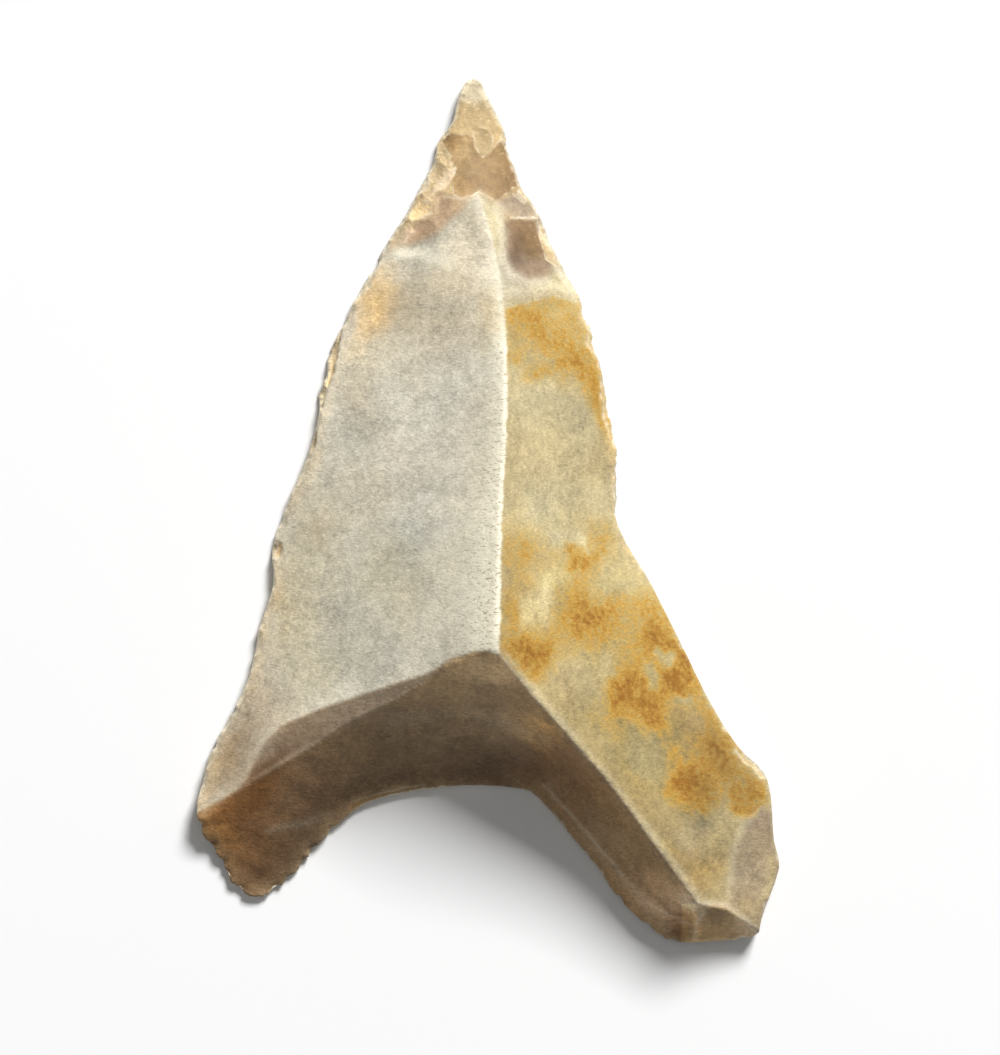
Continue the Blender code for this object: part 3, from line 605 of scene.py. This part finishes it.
    ],
    "heel": [
        ((15.8, -28.0), 0, 2.8, 1.8, (0.63, 0.64, 0.67)), ((17.9, -28.9), -30, 2.6, 1.6, (1.42, 1.54, 1.9)),
        ((17.6, -29.1), 20, 3.6, 1.8, (1.2, 1.2, 1.3)),
    ],
}
# The same over the worked point
pointWashes = [
    ((-3.0, 20.8), 30, 1.8, 0.9, (0.72, 0.68, 0.66)), ((-4.9, 19.1), 20, 2.2, 0.8, (0.84, 0.8, 0.78)),
    ((2.9, 19.2), 0, 2.0, 1.6, (1.02, 0.98, 0.88)), ((2.9, 16.7), 0, 3.0, 1.6, (1.18, 1.28, 1.46)),
    ((1.4, 24.0), -75, 3.0, 0.9, (0.86, 0.8, 0.72)), ((-0.6, 22.6), 0, 1.6, 0.9, (0.9, 0.87, 0.84)),
    ((-2.6, 25.4), 40, 1.2, 0.8, (0.92, 0.86, 0.8)), ((-0.8, 27.2), 85, 2.0, 0.5, (1.06, 1.05, 1.03)),
    # The first wash on this line lightens the left slope of the flute on the point, which turns away from
    # the key lamp: painted light
    ((-2.3, 24.4), 76, 4.6, 1.7, (1.3, 1.32, 1.32)), ((-3.4, 21.4), 25, 4.4, 2.2, (1.56, 1.54, 1.56)),
    ((-5.2, 19.5), 40, 2.0, 1.3, 1.5), ((1.7, 21.7), -60, 3.6, 2.0, (0.78, 0.77, 0.8)),
    # The second wash on this line does the same higher up the flute: painted light
    ((1.7, 17.2), 70, 4.0, 2.2, (0.73, 0.71, 0.75)), ((-2.0, 25.0), 70, 2.4, 1.6, (1.34, 1.38, 1.44)),
    ((2.9, 18.2), 0, 2.2, 1.8, (0.86, 0.83, 0.7)), ((-2.5, 26.1), 60, 2.6, 1.1, 1.2),
    ((-4.0, 19.2), 40, 2.2, 1.4, (1.16, 1.1, 1.06)), ((-6.0, 18.7), 55, 2.2, 1.4, (1.02, 1.08, 1.18)),
    ((4.3, 17.1), -60, 2.4, 1.4, (1.0, 1.07, 1.18)),
]
# Two darker scallops on the broken heel
scallops = {
    "outlines": [
        [(14.4, -28.9), (14.6, -28.2), (15.0, -27.8), (15.5, -27.5), (16.3, -27.5), (17.4, -28.4),
         (18.5, -29.3), (18.3, -29.7), (14.7, -29.8)],
        [(12.6, -29.6), (12.7, -28.5), (13.2, -28.0), (14.0, -28.0), (14.5, -28.4), (14.2, -29.6)],
    ],
    "tint": (0.8, 0.75, 0.67), "fade": (-0.14, 0.14),
}
for bed, rows in washes.items():
    for *oval, tint in rows:
        wash(blot(*oval) * beds[bed], tint)
point = smooth(0.0, 1.0, fresh)
coat += (struck - coat) * point[:, None]
for *oval, tint in pointWashes:
    wash(blot(*oval) * point, tint)
for bite in bites:
    lay(coat, bite["colour"], bite["cover"] * 0.95)
for outline in scallops["outlines"]:
    wash(smooth(*scallops["fade"], shapeGap(sx, sy, outline)) * back, scallops["tint"])

# Stain on the right bed
stains = {
    "most": 0.92,  # no spot is denser
    "strength": 1.18,  # every density is times this
    "cleared": 0.88,  # how much of it a clear spot takes away
    # spot, turn, length, width and how dense, from 0 to 1
    "spots": [
        ((4.1, 12.2), -12, 7.8, 6.0, 0.28), ((2.4, 13.6), -10, 2.2, 1.5, 0.34),
        ((4.5, 14.3), 10, 3.0, 0.9, 0.2), ((3.6, 12.1), -25, 3.4, 1.6, 0.26),
        ((6.1, 9.9), -35, 3.2, 2.2, 0.46), ((3.4, 9.2), 20, 2.0, 1.1, 0.3),
        ((1.8, 10.6), 0, 1.4, 1.2, 0.25), ((7.5, 7.8), -75, 3.4, 1.3, 0.42),
        ((8.1, 5.6), -80, 1.8, 0.8, 0.25), ((4.6, -2.8), 0, 8.6, 4.4, 0.22),
        ((2.55, -3.2), 86, 4.0, 1.3, 0.26), ((1.4, -2.9), 86, 3.4, 0.9, 0.18),
        ((5.7, -2.75), 0, 1.1, 0.6, 0.42), ((6.1, -3.8), 10, 1.4, 1.0, 0.42),
        ((7.5, -2.6), 75, 3.6, 1.5, 0.34), ((1.5, -7.0), 80, 2.6, 1.5, 0.36),
        ((2.9, -9.7), -12, 4.8, 2.6, 0.62), ((2.8, -9.8), -10, 2.4, 1.2, 0.3),
        ((2.9, -11.4), -40, 2.4, 1.0, 0.28), ((6.8, -7.4), -20, 5.6, 4.2, 0.57),
        ((7.1, -7.2), -15, 2.6, 1.2, 0.25), ((7.9, -8.9), 0, 1.6, 1.0, 0.14),
        ((10.9, -6.6), -55, 3.8, 2.4, 0.24), ((12.2, -10.3), -30, 3.0, 1.6, 0.3),
        ((11.9, -9.0), -60, 4.2, 2.6, 0.5), ((12.7, -9.3), -60, 3.0, 1.3, 0.25),
        ((11.3, -8.9), 0, 1.3, 1.1, 0.3), ((13.4, -11.0), -60, 4.4, 2.2, 0.5),
        ((9.2, -12.4), 60, 4.6, 2.8, 0.62), ((9.1, -12.8), 0, 1.4, 0.8, 0.3),
        ((8.3, -13.5), 0, 0.8, 0.6, 0.3), ((11.2, -13.4), 0, 4.2, 3.0, 0.64),
        ((11.9, -15.0), -60, 2.4, 1.2, 0.45), ((13.6, -13.0), -50, 5.0, 2.0, 0.42),
        ((15.9, -16.2), -42, 4.4, 2.5, 0.72), ((13.8, -19.1), 0, 3.5, 3.1, 0.66),
        ((13.2, -18.8), 30, 1.6, 1.2, 0.3), ((14.8, -18.2), 0, 2.8, 1.4, 0.3),
        ((14.9, -20.2), 0, 2.6, 2.2, 0.36), ((6.0, 13.2), 80, 2.4, 1.6, 0.22),
        ((18.2, -19.9), -50, 3.2, 2.2, 0.56), ((18.0, -20.7), 0, 1.1, 0.8, 0.28),
        ((12.8, -17.0), 0, 1.5, 1.2, 0.34), ((4.3, -11.0), -30, 2.0, 1.4, 0.3),
        ((13.0, -12.2), -50, 2.4, 1.4, 0.4), ((16.2, -18.4), -40, 3.0, 1.6, 0.12),
        ((1.8, -8.2), 80, 1.6, 1.0, 0.26), ((11.6, -14.6), 0, 2.2, 1.4, 0.22),
        ((9.2, -16.2), -70, 2.4, 1.3, 0.17), ((11.1, -20.4), -50, 2.2, 1.1, 0.15),
        ((12.7, -23.3), -50, 2.8, 1.2, 0.22), ((15.3, -25.1), 15, 3.4, 1.9, 0.14),
        ((10.0, -18.4), -50, 3.0, 1.0, 0.16),
    ],
    # spot, turn, length and width
    "clear": [
        ((3.6, -6.4), 55, 4.6, 1.9), ((8.7, -4.9), 15, 2.6, 1.5), ((5.9, -11.9), -50, 4.2, 2.8),
        ((8.1, -10.9), 60, 2.4, 1.0), ((11.4, -11.8), -70, 1.9, 1.1), ((12.3, -10.4), 0, 1.3, 1.1),
        ((13.6, -13.4), 0, 1.6, 1.1), ((6.5, -2.2), -30, 1.6, 1.1), ((4.7, -1.9), 0, 1.8, 1.2),
        ((14.0, -14.9), -30, 3.2, 1.8), ((13.3, -22.7), -50, 2.0, 1.0), ((11.8, -21.0), -50, 3.4, 2.0),
    ],
    # where the stained bed is darker, duller and browner
    "dull": [
        ((16.3, -17.6), -58, 8.0, 3.0), ((15.4, -19.8), -50, 3.4, 2.8), ((14.6, -21.2), -50, 2.6, 1.8),
    ],
    # the line where it stops under the worked point, its fade there and the level it counts above
    "top": [(0.6, 13.6), (1.35, 13.8), (1.95, 14.0), (3.3, 14.4), (4.5, 14.75), (5.2, 14.5), (7.0, 14.2)],
    "topFade": (0.06, -0.12), "topFrom": 9,
}
clean = np.ones(count)
for *oval, density in stains["spots"]:
    clean *= 1 - min(stains["most"], density * stains["strength"]) * blot(*oval, fall=0.8, power=2)
stain = 1 - clean
for oval in stains["clear"]:
    stain *= 1 - stains["cleared"] * blot(*oval, fall=1, power=2.2)
topGap = lineGap(x + fine * 0.15, y + fineToo * 0.1, stains["top"])
stain *= np.where(y > stains["topFrom"], smooth(*stains["topFade"], topGap), 1) * beds["right"]
dull = np.zeros(count)
for oval in stains["dull"]:
    dull = np.maximum(dull, blot(*oval) * beds["right"])

# Pale wear: line, width, strength and how broken it is
wear = [
    ([(-7.5, 17.3), (-6.6, 17.6), (-5.1, 17.75), (-3.9, 17.4), (-2.6, 16.9)], 0.42, 0.62, 0.4),
    ([(-0.5, 21.4), (-0.1, 20.2), (0.3, 18.4), (0.6, 16.6), (1.0, 14.8)], 0.65, 0.27, 0.3),
    ([(1.0, 14.9), (3.3, 15.15), (4.6, 15.45), (5.7, 15.1)], 0.42, 0.25, 0.4),
    ([(0.6, 20.8), (1.0, 19.2), (1.05, 17.2), (1.6, 16.1), (2.8, 15.6), (4.2, 15.7)], 0.42, 0.46, 0.3),
    ([(4.9, 16.6), (5.9, 14.9)], 0.35, 0.45, 0.4),
    ([(14.3, -29.7), (14.45, -28.6), (14.9, -27.9)], 0.16, 0.3, 0.3),
    ([(1.6, 20.1), (2.6, 20.15), (3.75, 20.2)], 0.09, 0.65, 0.4),
    ([(-3.0, 21.6), (-2.0, 21.4), (-1.1, 21.6), (-0.5, 22.0)], 0.1, 0.35, 0.5),
    (lines["bevelFoot"][3:], 0.16, 0.14, 0.3),
    (lines["bevelFoot"][1:4], 0.16, 0.04, 0.3),
    ([(-6.5, -14.6), (-2.0, -14.0), (0.5, -14.6), (4.0, -15.9)], 0.5, 0.07, 0.3),
    (bites[0]["outline"][:5], 0.2, 0.5, 0.3),
    (bites[1]["outline"][:3], 0.18, 0.5, 0.3),
    ([(-14.9, -15.2), (-16.2, -17.2), (-16.8, -18.3), (-18.3, -19.8), (-19.6, -20.8)], 0.45, 0.13, 0.3),
    ([(0.8, -9.6), (3.05, -12.45), (7.95, -18.05), (12.05, -23.55), (14.85, -27.35)], 0.3, 0.17, 0.3),
    (lines["heel"], 0.24, 0.34, 0.3),
    (lines["hollowCrest"], 0.14, 0.2, 0.4),
    (lines["flank"], 0.3, 0.12, 0.3),
    ([(-15.2, -22.3), (-13.0, -21.9), (-11.1, -21.2)], 0.3, 0.07, 0.4),
    ([(-9.4, -20.4), (-7.5, -19.8), (-4.4, -19.2)], 0.1, 0.25, 0.4),
    ([(17.2, -16.8), (17.9, -17.6), (18.4, -17.9), (18.9, -18.7)], 0.12, 0.5, 0.4),
]
# Wear and warm tints that follow the ridge, the left crest and the rim, and a painted highlight line along
# the ridge
glow = {
    # a plain part and what is added to it, lower down the stone or by the noise
    "ridgeWidth": (1.1, 1.4), "ridgeStrength": (0.9, 0.25), "lineStrength": (0.62, 0.5),
    "rimStrength": (0.22, 0.35), "leftTintStrength": (0.36, 0.25), "rightTintStrength": (0.35, 0.3),
    # how far from the rim it has faded out and where it is full
    "rim": (0.42, 0.05), "leftTint": (1.7, 0.1), "rightTint": (0.7, 0.1),
    "lineWidth": 0.17, "lineShift": 0.06, "crestWidth": 1.4, "crestStrength": 0.04,
    "rightRim": 0.4,  # share of the rim's wear that the right rim has
    "baseRim": 0.8,  # share of the rim's wear that the base bed goes without
    # the last is how strongly the painted rim highlight is laid on
    "crushed": 0.42, "turned": 0.8,
}


def grown(pair, share):
    # the first of the pair and that share of the second
    return pair[0] + pair[1] * share


pale = np.zeros(count)
for marks, width, strength, broken in wear:
    gap = lineGap(x + fine * 0.05, y + fineToo * 0.05, marks)
    streak = bell(gap, width) * strength * (1 - broken * smooth(0.1, -0.3, lumps + fine * 0.5))
    pale = np.maximum(pale, streak * back)
lower = smooth(7.0, -7.0, y)
wavyGap = ridgeGap + fine * 0.1 + fineToo * 0.06
ridgeGlow = bell(np.minimum(wavyGap, 0), grown(glow["ridgeWidth"], lower))
ridgeGlow *= grown(glow["ridgeStrength"], lower)
# a thin painted highlight just left of the ridge
ridgeHighlight = bell(wavyGap + glow["lineShift"], glow["lineWidth"]) * grown(glow["lineStrength"], fine)
onRidge = smooth(15.2, 10.5, y) * smooth(0.28, 0.02, wavyGap) * (y > baseTop) * (1 - baseBed)
pale = np.maximum(pale, np.maximum(ridgeGlow, ridgeHighlight) * onRidge * back)
crestGlow = bell(leftCrestGap, glow["crestWidth"]) * (leftCrestGap < 0.05) * smooth(-15.0, -6.0, x)
pale = np.maximum(pale, crestGlow * glow["crestStrength"] * beds["left"])
litRim = back * (1 - glow["baseRim"] * baseBed)
onRight = x > 6
rimGlow = smooth(*glow["rim"], rimGap) * litRim * grown(glow["rimStrength"], smooth(-0.2, 0.5, fine))
pale = np.maximum(pale, rimGlow * np.where(onRight, glow["rightRim"], 1))
pale = np.maximum(pale, crushed * glow["crushed"] * litRim)
leftTint = smooth(*glow["leftTint"], rimGap) * litRim * grown(glow["leftTintStrength"], lumps)
rightTint = smooth(*glow["rightTint"], rimGap) * litRim * grown(glow["rightTintStrength"], lumps)
lay(coat, colours["leftRim"], np.clip(leftTint * (x < 0) * (1 - fresh), 0, 1))
lay(coat, colours["rightRim"], np.clip(rightTint * onRight * (y > -4), 0, 1))

# Painted highlight: the left rim is made bright where it turns down, as if the lamp caught it
turned = smooth(0.8, 0.3, normal[:, 2]) * smooth(-0.3, 0.1, normal[:, 2]) * smooth(1.0, 0.3, rimGap)
turned *= (x < 0) * (1 - baseBed) * smooth(-21.0, -20.0, y)
lay(coat, colours["turned"], turned * glow["turned"])

masks = {
    "stain": stain, "dull": dull, "fresh": fresh, "pale": pale, "shade": baseBed * (1 - bevel),
    "stroke": np.maximum(strokeMask * 0.5, ridgeGlow * onRidge * (x < 3)),
    "edge": 0.5 + edgeGap * 2.5,  # 0.5 on the edge itself
    "edgeHighlight": edgeHighlight * fresh * smooth(0.5, 0.25, np.abs(edgeGap)),
}
for name, values in masks.items():
    layer = flint.data.attributes.new(name, "FLOAT", "POINT")
    layer.data.foreach_set("value", np.clip(values, 0, 1).astype(np.float32))
layer = flint.data.attributes.new("coat", "FLOAT_COLOR", "POINT")
layer.data.foreach_set("color", np.hstack([coat, np.ones((count, 1))]).astype(np.float32).ravel())
flint.data.transform(Matrix.Scale(0.001, 4))
flint.data.shade_smooth()
print("stone: colours done")


# Materials
def addNode(tree, kind, **settings):
    node = tree.nodes.new("ShaderNode" + kind)
    for name, value in settings.items():
        setattr(node, name, value)
    return node


def feed(tree, socket, value):
    if isinstance(value, bpy.types.NodeSocket):
        tree.links.new(value, socket)
    else:
        socket.default_value = value


def mixColour(tree, factor, first, second, blend="MIX"):
    node = addNode(tree, "Mix", data_type="RGBA", blend_type=blend)
    for place, value in ((0, factor), (6, first), (7, second)):
        feed(tree, node.inputs[place], value)
    return node.outputs[2]


def arithmetic(tree, operation, *values):
    node = addNode(tree, "Math", operation=operation)
    for place, value in enumerate(values):
        feed(tree, node.inputs[place], value)
    return node.outputs[0]


def multiply(tree, first, second):
    return arithmetic(tree, "MULTIPLY", first, second)


def addUp(tree, *terms):
    # a sum of sockets, each with its weight, and a last plain number
    total = arithmetic(tree, "MULTIPLY_ADD", terms[0][0], terms[0][1], terms[-1])
    for socket, weight in terms[1:-1]:
        total = arithmetic(tree, "MULTIPLY_ADD", socket, weight, total)
    return total


def brighten(tree, colour, factor):
    node = addNode(tree, "VectorMath", operation="SCALE")
    feed(tree, node.inputs[0], colour)
    feed(tree, node.inputs["Scale"], factor)
    return node.outputs[0]


def ease(tree, value, low, high):
    # 0 at low, 1 at high
    node = addNode(tree, "MapRange", interpolation_type="SMOOTHSTEP")
    feed(tree, node.inputs["Value"], value)
    node.inputs["From Min"].default_value = low
    node.inputs["From Max"].default_value = high
    return node.outputs[0]


def speckle(tree, place, size, detail, roughness, turn=None, stretch=None):
    node = addNode(tree, "TexNoise")
    node.inputs["Scale"].default_value = 1 / size
    node.inputs["Detail"].default_value = detail
    node.inputs["Roughness"].default_value = roughness
    if stretch:
        mapping = addNode(tree, "Mapping")
        mapping.inputs["Rotation"].default_value = turn
        mapping.inputs["Scale"].default_value = stretch
        feed(tree, mapping.inputs["Vector"], place)
        place = mapping.outputs[0]
    feed(tree, node.inputs["Vector"], place)
    return node.outputs["Fac"]


def ramp(tree, factor, stops):
    node = addNode(tree, "ValToRGB")
    band = node.color_ramp
    while len(band.elements) < len(stops):
        band.elements.new(0.5)
    for element, (position, colour) in zip(band.elements, stops):
        element.position = position
        element.color = colour
    feed(tree, node.inputs[0], factor)
    return node.outputs["Color"]


def maskOf(tree, name, output="Fac"):
    return addNode(tree, "Attribute", attribute_name=name).outputs[output]


finish = {
    # noises: size in metres, detail and roughness, and for drawn-out ones the turn and the stretch
    "clouds": (0.0042, 3, 0.5), "cloud": (0.0009, 4, 0.6), "mottle": (0.00045, 4, 0.65),
    "grain": (0.0002, 2, 0.6), "hue": (0.006, 2, 0.5), "dots": (0.00026, 1, 0.5),
    "streaks": (0.00034, 3, 0.6, (0, 0, -0.5), (1.0, 3.0, 1.0)),
    "fibres": (0.0003, 2, 0.5, (0, 0, 0.6), (1.0, 2.6, 1.0)),
    # what red, green and blue are multiplied by
    "warm": (1.03, 1.0, 0.95, 1), "cool": (0.98, 1.0, 1.03, 1), "tint": (1.03, 0.94, 0.64, 1),
    "dull": (0.7, 0.73, 0.86, 1),
    # the stain from thin to dense, and where on its density each colour stands
    "stain": [(0.12, paint(178, 151, 92)), (0.5, paint(180, 140, 62)), (0.95, paint(142, 97, 33))],
    # edge is the colour of the painted highlight along scar edges
    "pins": paint(122, 72, 22), "wear": paint(246, 238, 213), "edge": paint(240, 226, 198),
    "stroke": paint(158, 142, 118),
    "roughness": 0.56, "freshRoughness": 0.5, "specular": 0.2,
    "bumpDepth": 0.00006, "bumpStrength": 0.5,
}


def makeFlint():
    material = bpy.data.materials.new("patinated flint")
    material.use_nodes = True
    tree = material.node_tree
    shader = tree.nodes["Principled BSDF"]
    place = addNode(tree, "TexCoord").outputs["Object"]
    clouds, cloud, mottle, grain, hue, dots, streaks, fibres = [
        speckle(tree, place, *finish[name])
        for name in ("clouds", "cloud", "mottle", "grain", "hue", "dots", "streaks", "fibres")
    ]
    fresh = maskOf(tree, "fresh")

    # the coat, made lighter and darker by the noises
    warmth = mixColour(tree, ease(tree, hue, 0.3, 0.7), finish["warm"], finish["cool"])
    colour = mixColour(tree, 1.0, maskOf(tree, "coat", "Color"), warmth, "MULTIPLY")
    rough = multiply(tree, addUp(tree, (grain, 1.0), -0.5), maskOf(tree, "shade"))
    fibres = ease(tree, fibres, 0.5, 0.72)
    texture = addUp(tree, (streaks, 0.6), (grain, 0.5), (fibres, 0.2), -0.6)
    texture = multiply(tree, texture, addUp(tree, (fresh, -0.6), 1.0))
    lightness = addUp(
        tree, (clouds, 0.9), (cloud, 0.6), (mottle, 0.42), (texture, 1.0), (rough, 0.3), 0.04)
    colour = brighten(tree, colour, lightness)

    # the stain: a tint around it, its own colour, dull parts and dark pins
    density = addUp(tree, (cloud, 1.2), (mottle, 1.3), (grain, 0.2), -0.35)
    density = multiply(tree, maskOf(tree, "stain"), density)
    stained = ramp(tree, density, finish["stain"])
    stained = brighten(tree, stained, addUp(tree, (texture, 0.9), (cloud, 0.4), 0.8))
    tinted = multiply(tree, ease(tree, maskOf(tree, "stain"), 0.02, 0.5), 0.8)
    colour = mixColour(tree, tinted, colour, finish["tint"], "MULTIPLY")
    colour = mixColour(tree, ease(tree, density, 0.03, 0.65), colour, stained)
    colour = mixColour(tree, maskOf(tree, "dull"), colour, finish["dull"], "MULTIPLY")
    pins = multiply(tree, ease(tree, dots, 0.6, 0.74), ease(tree, density, 0.3, 0.8))
    colour = mixColour(tree, multiply(tree, pins, 0.45), colour, finish["pins"])

    # pale wear, the painted highlight along the scar edges and the hatching beside the ridge
    paleness = multiply(tree, maskOf(tree, "pale"), addUp(tree, (streaks, 1.5), (grain, 0.7), -0.1))
    colour = mixColour(tree, paleness, colour, finish["wear"])
    fromEdge = arithmetic(tree, "ABSOLUTE", addUp(tree, (maskOf(tree, "edge"), 1.0), -0.5))
    line = ease(tree, fromEdge, 0.2, 0.06)
    line = multiply(tree, line, multiply(tree, maskOf(tree, "edgeHighlight"), ease(tree, cloud, 0.4, 0.6)))
    colour = mixColour(tree, line, colour, finish["edge"])
    hatch = multiply(tree, maskOf(tree, "stroke"), ease(tree, streaks, 0.44, 0.34))
    colour = mixColour(tree, multiply(tree, hatch, 0.8), colour, finish["stroke"])
    feed(tree, shader.inputs["Base Color"], colour)

    shader.inputs["Specular IOR Level"].default_value = finish["specular"]
    gloss = finish["freshRoughness"] - finish["roughness"]
    feed(tree, shader.inputs["Roughness"], addUp(tree, (fresh, gloss), (grain, 0.12), finish["roughness"]))
    bump = addNode(tree, "Bump")
    bump.inputs["Distance"].default_value = finish["bumpDepth"]
    bump.inputs["Strength"].default_value = finish["bumpStrength"]
    feed(tree, bump.inputs["Height"], addUp(tree, (streaks, 0.7), (grain, 1.0), 0.0))
    feed(tree, shader.inputs["Normal"], bump.outputs[0])
    return material


flint.data.materials.clear()
flint.data.materials.append(makeFlint())
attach(flint, "root")
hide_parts("stone_awl")
print("stone: material done")

# Table, light and camera. Distances are in metres.
room = {
    "floorColour": (0.93, 0.93, 0.93, 1), "floorRoughness": 0.9, "floorReach": 2,
    "keyAim": (0.34, 0.66, 0.62), "keyDistance": 2.0, "keySize": 0.64, "keyPower": 54,
    "skyStrength": 0.22,
    "cameraAbove": 0.611, "cameraSpot": (0.00083, -0.00132), "lens": 300, "nearest": 0.01,
}
reach = room["floorReach"]
corners = [(-reach, -reach, 0), (reach, -reach, 0), (reach, reach, 0), (-reach, reach, 0)]
floorMesh = bpy.data.meshes.new("floor")
floorMesh.from_pydata(corners, [], [(0, 1, 2, 3)])
floor = newObject("floor", floorMesh)
floorPaint = bpy.data.materials.new("floor")
floorPaint.use_nodes = True
floorShader = floorPaint.node_tree.nodes["Principled BSDF"]
floorShader.inputs["Base Color"].default_value = room["floorColour"]
floorShader.inputs["Roughness"].default_value = room["floorRoughness"]
floorMesh.materials.append(floorPaint)

world = bpy.data.worlds.new("studio")
bpy.context.scene.world = world
world.use_nodes = True
sky = world.node_tree.nodes["Background"]
sky.inputs["Color"].default_value = (1, 1, 1, 1)
sky.inputs["Strength"].default_value = room["skyStrength"]
keyLamp = bpy.data.lights.new("key", "AREA")
keyLamp.size = room["keySize"]
keyLamp.energy = room["keyPower"]
key = newObject("key", keyLamp)
aim = Vector(room["keyAim"]).normalized()
key.location = aim * room["keyDistance"]
key.rotation_euler = aim.to_track_quat("Z", "Y").to_euler()

lens = bpy.data.cameras.new("camera")
lens.lens = room["lens"]
lens.clip_start = room["nearest"]
camera = newObject("camera", lens)
camera.location = (*room["cameraSpot"], room["cameraAbove"])
bpy.context.scene.camera = camera
bpy.context.scene.view_settings.view_transform = "Standard"
print("room: floor, light and camera done")
